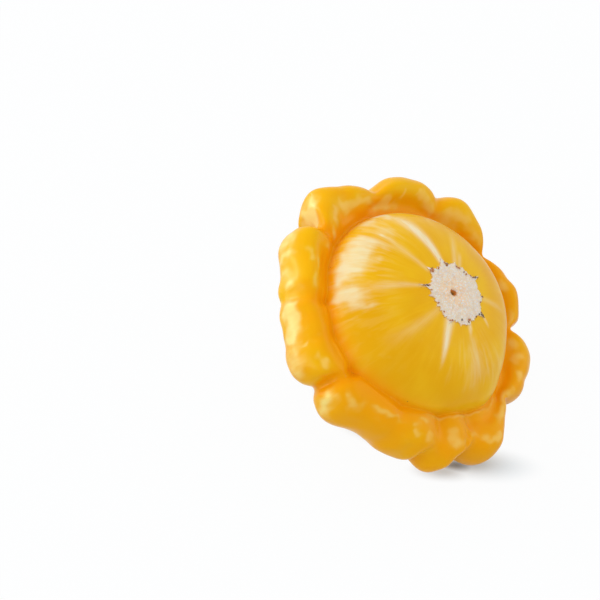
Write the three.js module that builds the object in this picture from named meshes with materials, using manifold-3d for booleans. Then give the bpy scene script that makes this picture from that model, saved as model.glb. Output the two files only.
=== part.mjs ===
// A yellow pattypan squash with its cut stem, in millimetres, +Z up.
//
// The fruit grew as one piece: a shallow cone of shoulder round the stem, a thick collar of
// scalloped lobes, a tight crease inside the collar, and a dome that ends in a corky blossom scar.
// It lies as such a squash lies on a table: on two lobes of its collar and the edge of its stem,
// with the blossom end up. The origin is on the table, under the middle of the squash.

import * as THREE from 'three';
import { mergeVertices } from 'three/addons/utils/BufferGeometryUtils.js';
import Module from 'manifold-3d';

const wasm = await Module();
wasm.setup();

// ---- Driving dimensions -------------------------------------------------------------------

// Collar, measured from the squash's axis and from the plane of its widest part.
const COLLAR_RADIUS = 47.2;        // crown of a lobe at its widest
const GROOVE_RADIUS = 42.5;        // bottom of the groove beside it
const CREST_RADIUS = 40.8;         // top of the collar's roll
const CREST_HEIGHT = 9.6;

// Crease and dome on the blossom side.
const CREASE_RADIUS = 32.4;
const CREASE_HEIGHT = 4.0;
const DOME_RADIUS = 32.6;
const DOME_HEIGHT = 23.6;

// Shoulder on the stem side.
const SHOULDER_DEPTH = 25.0;

// Grooves between the lobes: how wide a tight one and a soft one run round the collar.
const TIGHT_WIDTH = 2.8;           // degrees
const SOFT_WIDTH = 7.5;            // degrees

// Blossom scar: a disc of cork that stands a little proud of the dome, with a pit in its middle.
const SCAR_RADIUS = 9.6;
const SCAR_EDGE = 1.2;             // width of the slope round it
const SCAR_RISE = 0.3;
const PIT_RADIUS = 1.5;
const PIT_DEPTH = 1.2;

// Stem: five ribs, a flare where it meets the shoulder, and a slanting cut.
const STEM_LENGTH = 11.0;
const STEM_RADIUS = 5.4;
const STEM_FLARE = 1.8;            // extra radius at the foot
const STEM_FLARE_LENGTH = 2.6;     // distance in which the flare dies away
const STEM_RIBS = 5;
const STEM_RIB_DEPTH = 0.1;        // share of the radius
const STEM_RIB_START = 20;         // degrees, the crown of the first rib
const STEM_TAPER = 0.05;           // share of the radius lost over the length
const STEM_CUT_SLANT = 8;          // degrees
const STEM_CUT_FACING = 80;        // degrees, the side where the cut is lowest on the stem
const STEM_CHAMFER = 0.5;
const STEM_GAP = 0.3;              // clearance between the stem's foot and the shoulder

// How the squash lies: the side of the collar that is lowest, the lean of its axis from
// upright, the turn about the vertical, and how deep its skin is pressed flat on the table.
const LOW_SIDE = 292.2;            // degrees
const LEAN = 37.6;                 // degrees
const HEADING = -17.4;             // degrees
const PRESSED = 0.25;

// Fineness of the faces.
const FRUIT_COLUMNS = 144;
const STEM_COLUMNS = 40;

// ---- Skin ---------------------------------------------------------------------------------

// Lobes round the collar. Each has the groove where it starts: its angle at the collar's edge and
// at the crest, how far it cuts in there as a share of the plain groove section, and how much of it
// is tight (1) and not soft (0). Then comes the lobe's own reach outward and its lift toward the
// blossom end, in millimetres.
const lobe = (edgeAt, crestAt, edgeCut, crestCut, tight, reach, lift) => (
  { edgeAt, crestAt, edgeCut, crestCut, tight, reach, lift }
);

const LOBES = [
  lobe(8, 8, 2, 0.95, 0.2, 1.2, 3),
  lobe(40, 41, 0.3, 0.9, 0.4, 0.2, 2.5),
  lobe(73, 76, 0.9, 0.6, 0.2, -0.6, 1),
  lobe(86, 94, 0.1, 0.5, 0.2, 2.2, 0),
  lobe(111, 115, 1.6, 1, 0.9, 0.9, 0),
  lobe(130, 131, 0.05, 0.3, 0.3, -1.4, 0),
  lobe(147, 151, 0.2, 0.7, 0.8, -0.9, 0),
  lobe(166, 168, 0.05, 0.35, 0.3, 0.4, 0),
  lobe(184, 187, 0.6, 1, 0.9, 0, -1),
  lobe(204, 204, 0.05, 0.1, 0.1, -2.8, -1),
  lobe(218, 218, 0.3, 0.45, 0.3, -1.4, -1),
  lobe(234, 239, 1.1, 0.9, 0.6, 2.4, -1),
  lobe(255, 258, 1.8, 0.9, 0.3, 3.4, 0),
  lobe(277, 277, 0.05, 0.15, 0.1, -1.1, -1),
  lobe(292, 291, 1.7, 0.7, 0.3, -0.5, -1),
  lobe(309, 308, 0.05, 0.3, 0.2, 0.6, -1),
  lobe(330, 330, 2.2, 0.9, 0.6, -0.9, -1),
  lobe(353, 353, 0.1, 0.3, 0.2, -0.6, 0),
];

// Stations of the skin in half section, from the stem to the blossom scar. Each is given on the
// crown of a lobe and in the bottom of a groove, as radius and height; the skin at any angle is a
// blend of the two. `reach` is the share of a lobe's reach and lift that the station takes, and
// `crest` says whether it follows the grooves of the outer edge (0) or of the crest (1).
const station = (crown, groove, reach, crest) => ({ crown, groove, reach, crest });
const round = (radius, height) => station([radius, height], [radius, height], 0, 1);

const STATIONS = [
  station([0, -SHOULDER_DEPTH], [0, -SHOULDER_DEPTH], 0, 0),
  station([5, -SHOULDER_DEPTH - 0.2], [5, -SHOULDER_DEPTH - 0.2], 0, 0),
  station([12, -SHOULDER_DEPTH], [12, -SHOULDER_DEPTH + 0.3], 0, 0),
  station([20.5, -22.6], [20.2, -21.9], 0.05, 0),
  station([29, -17.8], [28.4, -16.8], 0.2, 0),
  station([36, -13], [34.6, -11.8], 0.45, 0),
  station([42, -9.5], [39, -8], 0.75, 0),
  station([COLLAR_RADIUS - 1, -5], [GROOVE_RADIUS - 1, -3.5], 1, 0),
  station([COLLAR_RADIUS, 2], [GROOVE_RADIUS, 1.5], 1, 0.2),
  station([COLLAR_RADIUS - 2.4, CREST_HEIGHT - 1.6], [GROOVE_RADIUS - 1.5, 5.5], 0.9, 0.6),
  station([CREST_RADIUS, CREST_HEIGHT], [CREST_RADIUS - 2.4, 7], 0.75, 1),
  station([36.8, CREST_HEIGHT - 1.8], [35.8, 6], 0.35, 1),
  round(CREASE_RADIUS + 1, CREASE_HEIGHT),
  round(CREASE_RADIUS, CREASE_HEIGHT),
  round(DOME_RADIUS, CREASE_HEIGHT + 3.6),
  round(DOME_RADIUS - 1.7, CREASE_HEIGHT + 8.8),
  round(26, DOME_HEIGHT - 5.4),
  round(18, DOME_HEIGHT - 2),
  round(9, DOME_HEIGHT - 0.3),
  round(0, DOME_HEIGHT),
];

// Places along the section where the skin gets a row of faces, counted in stations.
const ROWS = [
  1, 2, 3, 4, 5, 6, 6.5, 7, 7.5, 8, 8.5, 9, 9.5, 10, 10.5, 11, 11.5, 12, 12.5,
  13, 13.5, 14, 15, 16, 16.5, 17, 17.5, 17.9, 18.1, 18.5, 18.75, 18.9,
];

const radians = THREE.MathUtils.degToRad;
const mix = THREE.MathUtils.lerp;

// The turn from one angle to another, from -180 to 180 degrees.
const turn = (from, to) => ((((to - from + 180) % 360) + 360) % 360) - 180;

// How far the skin stands out of the groove section at an angle: 1 on a lobe's crown and 0 in a
// plain groove. Each groove is a notch whose depth falls off as a bell curve on either side.
function fullness(degrees, crest) {
  let full = 1;
  for (const { edgeAt, crestAt, edgeCut, crestCut, tight } of LOBES) {
    const away = turn(mix(edgeAt, crestAt, crest), degrees);
    const notch = mix(
      Math.exp(-((away / SOFT_WIDTH) ** 2)),
      Math.exp(-((away / TIGHT_WIDTH) ** 2)),
      tight,
    );
    full -= mix(edgeCut, crestCut, crest) * notch;
  }
  return full;
}

// A lobe's own value, run smoothly from the middle of each lobe to the middle of the next.
const lobeAt = (i) => LOBES[(i + LOBES.length) % LOBES.length];
const widthOf = (i) => (turn(lobeAt(i).edgeAt, lobeAt(i + 1).edgeAt) + 360) % 360;
const middleOf = (i) => lobeAt(i).edgeAt + widthOf(i) / 2;

function lobeValue(degrees, name) {
  for (let i = 0; i < LOBES.length; i += 1) {
    const span = (widthOf(i) + widthOf(i + 1)) / 2;
    const along = ((turn(middleOf(i), degrees) + 360) % 360) / span;
    if (along < 1) return mix(lobeAt(i)[name], lobeAt(i + 1)[name], along * along * (3 - 2 * along));
  }
  return lobeAt(0)[name];
}

// The stations blended for one angle, as radius and height.
function sectionAt(degrees) {
  const ownReach = lobeValue(degrees, 'reach');
  const ownLift = lobeValue(degrees, 'lift');
  return STATIONS.map(({ crown, groove, reach, crest }) => {
    const full = fullness(degrees, crest);
    const radius = mix(groove[0], crown[0], full) + reach * ownReach;
    const height = mix(groove[1], crown[1], full) + reach * ownLift;
    return new THREE.Vector2(radius, height);
  });
}

// A uniform cubic B-spline through the section, mirrored about the axis at both ends.
function splinePoint(section, u) {
  const last = section.length - 1;
  const at = (k) => {
    if (k < 0) return new THREE.Vector2(-section[1].x, section[1].y);
    if (k > last) return new THREE.Vector2(-section[last - 1].x, section[last - 1].y);
    return section[k];
  };
  const i = Math.min(Math.floor(u), last - 1);
  const f = u - i;
  const weights = [
    (1 - f) ** 3 / 6,
    (3 * f ** 3 - 6 * f ** 2 + 4) / 6,
    (-3 * f ** 3 + 3 * f ** 2 + 3 * f + 1) / 6,
    f ** 3 / 6,
  ];
  const point = new THREE.Vector2();
  weights.forEach((weight, k) => point.addScaledVector(at(i - 1 + k), weight));
  return point;
}

// How far the scar stands above the dome at a distance from the axis, with the pit taken out.
function scarRise(radius) {
  const disc = 1 - THREE.MathUtils.smoothstep(radius, SCAR_RADIUS - SCAR_EDGE, SCAR_RADIUS);
  const pit = Math.max(0, 1 - (radius / PIT_RADIUS) ** 2);
  return SCAR_RISE * disc - PIT_DEPTH * pit;
}

// ---- Closed skins from rings of points ----------------------------------------------------

// Rings of points from one end to the other, with a point at each end. Every ring runs
// counter-clockwise about the line from the first end to the last.
function closedSkin(rings, start, end) {
  const columns = rings[0].length;
  const points = [start, ...rings.flat(), end];
  const index = (ring, column) => 1 + ring * columns + (column % columns);
  const triangles = [];
  for (let c = 0; c < columns; c += 1) {
    triangles.push(0, index(0, c + 1), index(0, c));
    for (let r = 0; r + 1 < rings.length; r += 1) {
      triangles.push(index(r, c), index(r, c + 1), index(r + 1, c + 1));
      triangles.push(index(r, c), index(r + 1, c + 1), index(r + 1, c));
    }
    triangles.push(points.length - 1, index(rings.length - 1, c), index(rings.length - 1, c + 1));
  }
  const geometry = new THREE.BufferGeometry().setFromPoints(points);
  geometry.setIndex(triangles);
  return geometry;
}

const polar = (degrees, radius, height) => new THREE.Vector3(
  radius * Math.cos(radians(degrees)),
  radius * Math.sin(radians(degrees)),
  height,
);

// ---- Fruit --------------------------------------------------------------------------------

function fruitGeometry() {
  const columns = Array.from({ length: FRUIT_COLUMNS }, (_, c) => {
    const degrees = (360 * c) / FRUIT_COLUMNS;
    return { degrees, section: sectionAt(degrees) };
  });
  const skinPoint = ({ degrees, section }, u) => {
    const { x: radius, y: height } = splinePoint(section, u);
    const rise = height > CREASE_HEIGHT ? scarRise(radius) : 0;
    return polar(degrees, radius, height + rise);
  };
  const rings = ROWS.map((u) => columns.map((column) => skinPoint(column, u)));
  const lastStation = STATIONS.length - 1;
  return closedSkin(rings, skinPoint(columns[0], 0), skinPoint(columns[0], lastStation));
}

// ---- Stem ---------------------------------------------------------------------------------

function stemGeometry() {
  const foot = -SHOULDER_DEPTH - 0.2 - STEM_GAP;
  const slant = Math.tan(radians(STEM_CUT_SLANT));
  const ring = (along, inset) => Array.from({ length: STEM_COLUMNS }, (_, c) => {
    const degrees = (-360 * c) / STEM_COLUMNS;
    const rib = 1 + STEM_RIB_DEPTH * Math.cos(STEM_RIBS * radians(degrees - STEM_RIB_START));
    const flare = STEM_FLARE * Math.exp(-(((along * STEM_LENGTH) / STEM_FLARE_LENGTH) ** 2));
    const radius = (STEM_RADIUS * (1 - STEM_TAPER * along) + flare) * rib - inset;
    const cut = slant * radius * Math.cos(radians(degrees - STEM_CUT_FACING));
    return polar(degrees, radius, foot - along * STEM_LENGTH + along * cut);
  });
  const chamferStart = 1 - STEM_CHAMFER / STEM_LENGTH;
  const rings = [0, 0.08, 0.18, 0.3, 0.45, 0.65, 0.85, chamferStart].map((along) => ring(along, 0));
  rings.push(ring(1, STEM_CHAMFER));
  const middle = (height) => new THREE.Vector3(0, 0, height);
  return closedSkin(rings, middle(foot), middle(foot - STEM_LENGTH));
}

// ---- Joining and cutting ------------------------------------------------------------------

function toSolid(geometry) {
  const bare = geometry.clone();
  bare.deleteAttribute('normal');
  bare.deleteAttribute('uv');
  const merged = mergeVertices(bare);
  return new wasm.Manifold(new wasm.Mesh({
    numProp: 3,
    vertProperties: new Float32Array(merged.attributes.position.array),
    triVerts: new Uint32Array(merged.index.array),
  }));
}

function toGeometry(solid) {
  const mesh = solid.getMesh();
  const geometry = new THREE.BufferGeometry();
  geometry.setAttribute('position', new THREE.BufferAttribute(new Float32Array(mesh.vertProperties), 3));
  geometry.setIndex(new THREE.BufferAttribute(new Uint32Array(mesh.triVerts), 1));
  geometry.computeVertexNormals();
  return geometry;
}

// ---- Lying on the table -------------------------------------------------------------------

const lie = new THREE.Matrix4()
  .makeRotationZ(radians(HEADING))
  .multiply(new THREE.Matrix4().makeRotationY(radians(LEAN)))
  .multiply(new THREE.Matrix4().makeRotationZ(radians(-LOW_SIDE)));

const fruitSkin = fruitGeometry();
const stemSkin = stemGeometry();

// The table's top in the turned squash's frame, raised by the depth of skin that is pressed flat.
const turnedBox = new THREE.Box3();
for (const skin of [fruitSkin, stemSkin]) {
  turnedBox.union(new THREE.Box3().setFromBufferAttribute(skin.clone().applyMatrix4(lie).attributes.position));
}
const tableTop = turnedBox.min.z + PRESSED;
const centre = turnedBox.getCenter(new THREE.Vector3());

// A slab under that height, brought into the squash's own frame, presses both pieces flat.
function pressFlat(skin) {
  const size = 3 * COLLAR_RADIUS;
  const slab = new THREE.BoxGeometry(size, size, size);
  slab.translate(centre.x, centre.y, tableTop - size / 2);
  slab.applyMatrix4(lie.clone().invert());
  return toGeometry(toSolid(skin).subtract(toSolid(slab)));
}

// ---- Materials ----------------------------------------------------------------------------

const skinMaterial = new THREE.MeshStandardMaterial({ color: 0xe9a81c, roughness: 0.38, metalness: 0 });
const stemMaterial = new THREE.MeshStandardMaterial({ color: 0x6f7a35, roughness: 0.7, metalness: 0 });

// ---- The squash ---------------------------------------------------------------------------

function namedMesh(name, geometry, material) {
  const mesh = new THREE.Mesh(geometry, material);
  mesh.name = name;
  return mesh;
}

const squash = new THREE.Group();
squash.applyMatrix4(lie);
squash.position.set(-centre.x, -centre.y, -tableTop);
squash.add(namedMesh('fruit', pressFlat(fruitSkin), skinMaterial));
squash.add(namedMesh('stem', pressFlat(stemSkin), stemMaterial));

const part = new THREE.Group();
part.add(squash);

export default part;
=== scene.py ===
"""A yellow pattypan squash as it lies on a table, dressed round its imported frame.

Lengths are millimetres and angles are degrees, in the squash's own frame: its axis runs from the
stem to the blossom scar, height 0 is the widest part of the collar, and angles run
counter-clockwise as seen from the scar. Meshes are made in metres, in the frame of the solids.
"""

from __future__ import annotations

import logging
import math
from dataclasses import dataclass, field
from enum import Enum
from typing import Any

import bpy
import numpy as np
from mathutils import Matrix, Vector

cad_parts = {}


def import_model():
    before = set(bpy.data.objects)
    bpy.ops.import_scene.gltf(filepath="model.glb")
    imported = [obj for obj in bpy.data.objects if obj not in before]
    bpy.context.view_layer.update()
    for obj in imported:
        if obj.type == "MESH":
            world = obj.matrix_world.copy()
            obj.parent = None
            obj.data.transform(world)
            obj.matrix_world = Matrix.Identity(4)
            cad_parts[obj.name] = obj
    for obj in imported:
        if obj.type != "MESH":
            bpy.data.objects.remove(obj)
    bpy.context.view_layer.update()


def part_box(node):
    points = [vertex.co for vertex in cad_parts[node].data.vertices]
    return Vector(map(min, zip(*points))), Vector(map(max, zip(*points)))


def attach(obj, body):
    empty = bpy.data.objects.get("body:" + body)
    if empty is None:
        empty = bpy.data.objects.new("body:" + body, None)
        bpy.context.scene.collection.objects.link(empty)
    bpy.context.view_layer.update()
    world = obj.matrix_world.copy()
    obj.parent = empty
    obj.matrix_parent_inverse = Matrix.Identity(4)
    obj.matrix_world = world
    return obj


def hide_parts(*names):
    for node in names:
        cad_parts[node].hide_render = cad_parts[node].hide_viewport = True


LOG = logging.getLogger("pattypan")
MM = 0.001
CREASE_STATION = 12.5
SCAR_STATION = 17.0

Colour = tuple[float, float, float]
Triple = tuple[float, float, float]
Pair = tuple[float, float]
Socket = bpy.types.NodeSocket
Input = Any  # a number, a colour, a vector or another node's output socket


# ---- Fields and curves ----------------------------------------------------------------------


def mix(low: Any, high: Any, share: Any) -> Any:
    """The value that lies at a share of the way from low to high."""
    return low + (high - low) * share


def smooth(value: np.ndarray, low: float | np.ndarray, high: float | np.ndarray) -> np.ndarray:
    """0 below low, 1 above high and an S-shaped cubic between them."""
    share = np.clip((value - low) / (high - low), 0.0, 1.0)
    return share * share * (3.0 - 2.0 * share)


def plateau(value: np.ndarray, rise: Pair, fall: Pair) -> np.ndarray:
    """1 between the rise and the fall, 0 outside them and an S-shaped cubic on each."""
    return smooth(value, *rise) * (1.0 - smooth(value, *fall))


def bell(value: np.ndarray, width: float | np.ndarray) -> np.ndarray:
    """A bell curve: 1 at zero, and 1/e at the width."""
    return np.exp(-((value / width) ** 2))


def turn(start: Any, end: Any) -> Any:
    """The turn from one angle to another, from -180 to 180 degrees."""
    return (end - start + 180.0) % 360.0 - 180.0


def ripple(points: np.ndarray, wavelength: float, seed: int, waves: int = 20) -> np.ndarray:
    """A smooth random field of about unit size.

    The formula is the sum of plane sine waves of one wavelength that run in random directions
    with random phases, divided by the root of half their number.

    Args:
        points: Points whose last axis has three numbers, in the wavelength's unit.
        wavelength: The distance from crest to crest.
        seed: Seed of the directions and phases.
        waves: How many waves are summed.

    Returns:
        The field's value at each point.
    """
    random = np.random.default_rng(seed)
    directions = random.normal(size=(3, waves))
    directions *= 2.0 * math.pi / wavelength / np.linalg.norm(directions, axis=0)
    phases = random.uniform(0.0, 2.0 * math.pi, waves)
    return np.sin(points @ directions + phases).sum(axis=-1) / math.sqrt(waves / 2.0)


def spline(stations: np.ndarray, along: np.ndarray) -> np.ndarray:
    """A uniform cubic B-spline through half sections, mirrored about the axis at both ends.

    Each point is the sum of the four nearest stations, weighted by the cubic B-spline basis.

    Args:
        stations: Control points, an array of station by column by (radius, height).
        along: Places along the section, counted in stations.

    Returns:
        An array of place by column by (radius, height).
    """
    mirror = np.array([-1.0, 1.0])
    control = np.concatenate([stations[1:2] * mirror, stations, stations[-2:-1] * mirror])
    first = np.minimum(along.astype(int), len(stations) - 2)
    share = (along - first)[:, None, None]
    weights = (
        (1.0 - share) ** 3 / 6.0,
        (3.0 * share**3 - 6.0 * share**2 + 4.0) / 6.0,
        (-3.0 * share**3 + 3.0 * share**2 + 3.0 * share + 1.0) / 6.0,
        share**3 / 6.0,
    )
    return sum(weight * control[first + k] for k, weight in enumerate(weights))


def on_polar(degrees: np.ndarray, radius: np.ndarray, height: np.ndarray) -> np.ndarray:
    """Points at an angle and a distance from the axis, and at a height along it.

    Args:
        degrees: Angles round the axis.
        radius: Distances from the axis.
        height: Heights along the axis.

    Returns:
        An array of the points, with a last axis of three.
    """
    angle = np.radians(degrees)
    parts = np.broadcast_arrays(radius * np.cos(angle), radius * np.sin(angle), height)
    return np.stack(parts, axis=-1)


def grid_normals(rings: np.ndarray) -> np.ndarray:
    """Unit normals of a grid of closed rings.

    The formula is the cross product of the step round the ring and the step to the next ring.

    Args:
        rings: Points, an array of ring by column by three.

    Returns:
        Unit vectors that point out of the surface, in the same layout.
    """
    around = np.roll(rings, -1, axis=1) - np.roll(rings, 1, axis=1)
    across = np.gradient(rings, axis=0)
    normals = np.cross(around, across)
    return normals / np.maximum(np.linalg.norm(normals, axis=-1, keepdims=True), 1e-12)


@dataclass(frozen=True)
class Grain:
    """A random relief or waver.

    Attributes:
        size: How far it swings, in the unit of what it is added to.
        wavelength: The distance from crest to crest.
        seed: Seed of its waves.
    """

    size: float
    wavelength: float
    seed: int

    def at(self, points: np.ndarray) -> np.ndarray:
        """Its value at each point: its size times a random field."""
        return self.size * ripple(points, self.wavelength, self.seed)


@dataclass(frozen=True)
class Band:
    """A ridge or hollow along a row: the row, its half width in stations, and its rise."""

    row: float
    span: float
    rise: float

    def at(self, row: np.ndarray) -> np.ndarray:
        """Its value at each row: its rise times a bell across it."""
        return self.rise * bell(row - self.row, self.span)


@dataclass(frozen=True)
class Side:
    """A side of the fruit: the angle of its middle, and its half width in degrees."""

    at: float
    width: float

    def share(self, degrees: np.ndarray) -> np.ndarray:
        """How much of the side each angle has: a bell round its middle."""
        return bell(turn(self.at, degrees), self.width)


def layered(layers: tuple[Grain | Band, ...], places: np.ndarray) -> np.ndarray:
    """The sum of several grains or bands at each place."""
    return sum(layer.at(places) for layer in layers)


# ---- Meshes ---------------------------------------------------------------------------------


@dataclass
class Shell:
    """A closed surface made of rings of points, with a point at each end.

    Every ring runs counter-clockwise about the line from the first end to the last, so that the
    faces point outwards.

    Attributes:
        rings: Points in metres, an array of ring by column by three.
        start: The point that closes the first ring.
        end: The point that closes the last ring.
        marks: Named values at the points, ring by column, with one or three numbers each. The
            ends take the mean of the ring beside them.
    """

    rings: np.ndarray
    start: np.ndarray
    end: np.ndarray
    marks: dict[str, np.ndarray] = field(default_factory=dict)

    def points(self) -> np.ndarray:
        """All points in one list: the first end, the rings in order and the last end."""
        return np.concatenate([self.start[None], self.rings.reshape(-1, 3), self.end[None]])

    def faces(self) -> list[list[int]]:
        """Quads between the rings and a fan of triangles at each end, as point numbers.

        Returns:
            The point numbers of each face, counter-clockwise as seen from outside.
        """
        count, columns = self.rings.shape[:2]
        here = np.arange(columns)
        after = np.roll(here, -1)
        ring = 1 + columns * np.arange(count - 1)[:, None]
        above = ring + columns
        quads = np.stack([ring + here, ring + after, above + after, above + here], axis=-1)
        last = 1 + columns * (count - 1)
        first_fan = np.stack([np.zeros_like(here), 1 + after, 1 + here], axis=-1)
        last_fan = np.stack([np.full_like(here, last + columns), last + here, last + after], axis=-1)
        return first_fan.tolist() + quads.reshape(-1, 4).tolist() + last_fan.tolist()

    def mark_values(self, name: str) -> np.ndarray:
        """A mark's values in the order of the points.

        Args:
            name: The mark's name.

        Returns:
            One row of values for each point.
        """
        values = self.marks[name].reshape(*self.rings.shape[:2], -1)
        first, last = values[0].mean(axis=0), values[-1].mean(axis=0)
        return np.concatenate([first[None], values.reshape(-1, values.shape[-1]), last[None]])


def add_object(name: str, data: bpy.types.ID) -> bpy.types.Object:
    """Puts a new object with this data in the scene.

    Args:
        name: The object's name.
        data: Its mesh, lamp or camera.

    Returns:
        The object.
    """
    made = bpy.data.objects.new(name, data)
    bpy.context.scene.collection.objects.link(made)
    return made


def make_piece(name: str, shells: list[Shell]) -> bpy.types.Object:
    """Makes one smooth mesh object from closed shells, with their marks as point attributes.

    Args:
        name: The piece's name.
        shells: Closed surfaces that don't meet, all with the same marks.

    Returns:
        The new object, at the origin.
    """
    faces: list[list[int]] = []
    offset = 0
    for shell in shells:
        faces.extend([[corner + offset for corner in face] for face in shell.faces()])
        offset += len(shell.points())
    mesh = bpy.data.meshes.new(name)
    mesh.from_pydata(np.concatenate([shell.points() for shell in shells]).tolist(), [], faces)
    for mark in shells[0].marks:
        values = np.concatenate([shell.mark_values(mark) for shell in shells]).astype(np.float32)
        kind, key = ("FLOAT", "value") if values.shape[1] == 1 else ("FLOAT_VECTOR", "vector")
        mesh.attributes.new(mark, kind, "POINT").data.foreach_set(key, values.ravel())
    mesh.shade_smooth()
    mesh.update()
    return add_object(name, mesh)


# ---- Node graphs ----------------------------------------------------------------------------


class Graph:
    """A node tree that is built by short calls."""

    def __init__(self, tree: bpy.types.NodeTree) -> None:
        """Empties a node tree and keeps it."""
        self.tree = tree
        tree.nodes.clear()

    def feed(self, socket: Socket, value: Input) -> None:
        """Links an output to a socket, or sets the socket to a plain value.

        Args:
            socket: The input socket.
            value: What goes into it.
        """
        if isinstance(value, Socket):
            self.tree.links.new(value, socket)
        elif isinstance(value, tuple) and socket.type == "RGBA":
            socket.default_value = (*value, 1.0)
        else:
            socket.default_value = value

    def add(
        self, kind: str, inputs: dict[str | int, Input] | None = None, **settings: Any
    ) -> bpy.types.Node:
        """Adds a node.

        Args:
            kind: The node's type without the leading ShaderNode.
            inputs: Values or links for its sockets, by name or number.
            **settings: The node's own properties.

        Returns:
            The new node.
        """
        node = self.tree.nodes.new("ShaderNode" + kind)
        for name, value in settings.items():
            setattr(node, name, value)
        for name, value in (inputs or {}).items():
            self.feed(node.inputs[name], value)
        return node

    def mark(self, name: str, vector: bool = False) -> Socket:
        """The value that a piece carries at its points under this name."""
        node = self.add("Attribute", attribute_name=name)
        return node.outputs["Vector" if vector else "Fac"]

    def place(self) -> Socket:
        """The point's place on the piece, in metres."""
        return self.add("TexCoord").outputs["Object"]

    def stretched(self, vector: Input, scale: Triple) -> Socket:
        """A vector whose parts are each multiplied by a number."""
        return self.add("Mapping", {"Vector": vector, "Scale": scale}).outputs["Vector"]

    def noise(self, vector: Input, scale: float, detail: float = 2.0, warp: float = 0.0) -> Socket:
        """Smooth noise about 0.5, with a number of lumps per unit, extra octaves and a warp."""
        inputs = {"Vector": vector, "Scale": scale, "Detail": detail, "Distortion": warp}
        return self.add("TexNoise", inputs).outputs["Fac"]

    def math(self, operation: str, first: Input, second: Input = 0.0, clamp: bool = False) -> Socket:
        """The result of one sum on one or two numbers."""
        node = self.add("Math", {0: first, 1: second}, operation=operation, use_clamp=clamp)
        return node.outputs["Value"]

    def times(self, first: Input, second: Input) -> Socket:
        """Two numbers multiplied."""
        return self.math("MULTIPLY", first, second)

    def plus(self, first: Input, second: Input) -> Socket:
        """Two numbers added."""
        return self.math("ADD", first, second)

    def ramp(
        self, value: Input, low: float, high: float, to_low: float = 0.0, to_high: float = 1.0
    ) -> Socket:
        """A value carried from one span to another by an S-shaped curve, and held at its ends.

        Args:
            value: The value to carry.
            low: Where its span starts.
            high: Where its span ends.
            to_low: The result at the start.
            to_high: The result at the end.

        Returns:
            The result.
        """
        inputs = {"Value": value, "From Min": low, "From Max": high}
        inputs |= {"To Min": to_low, "To Max": to_high}
        return self.add("MapRange", inputs, interpolation_type="SMOOTHSTEP").outputs["Result"]

    def blend(self, share: Input, first: Input, second: Input) -> Socket:
        """Two colours mixed by a share."""
        node = self.add("Mix", {0: share, 6: first, 7: second}, data_type="RGBA")
        return node.outputs[2]

    def between(self, share: Input, first: Input, second: Input) -> Socket:
        """Two numbers mixed by a share."""
        return self.add("Mix", {0: share, 2: first, 3: second}).outputs[0]

    def bump(self, height: Input, distance: float, strength: float, below: Input = None) -> Socket:
        """A normal tilted by a height map of that depth in metres, on top of another bump.

        Args:
            height: The height map, from 0 to 1.
            distance: How deep its whole range is, in metres.
            strength: How much of the tilt shows.
            below: The normal from the bump under it, if there is one.

        Returns:
            The normal.
        """
        inputs = {"Height": height, "Distance": distance, "Strength": strength}
        if below is not None:
            inputs["Normal"] = below
        return self.add("Bump", inputs).outputs["Normal"]

    def finish(self, output: str, shader: bpy.types.Node) -> None:
        """Links a shader to a new output node."""
        target = self.add(output)
        self.tree.links.new(shader.outputs[0], target.inputs["Surface"])


def new_material(name: str) -> tuple[bpy.types.Material, Graph]:
    """A new material and the graph of its nodes.

    Args:
        name: The material's name.

    Returns:
        The material and its graph.
    """
    material = bpy.data.materials.new(name)
    material.use_nodes = True
    return material, Graph(material.node_tree)


# ---- Finishes -------------------------------------------------------------------------------


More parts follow.
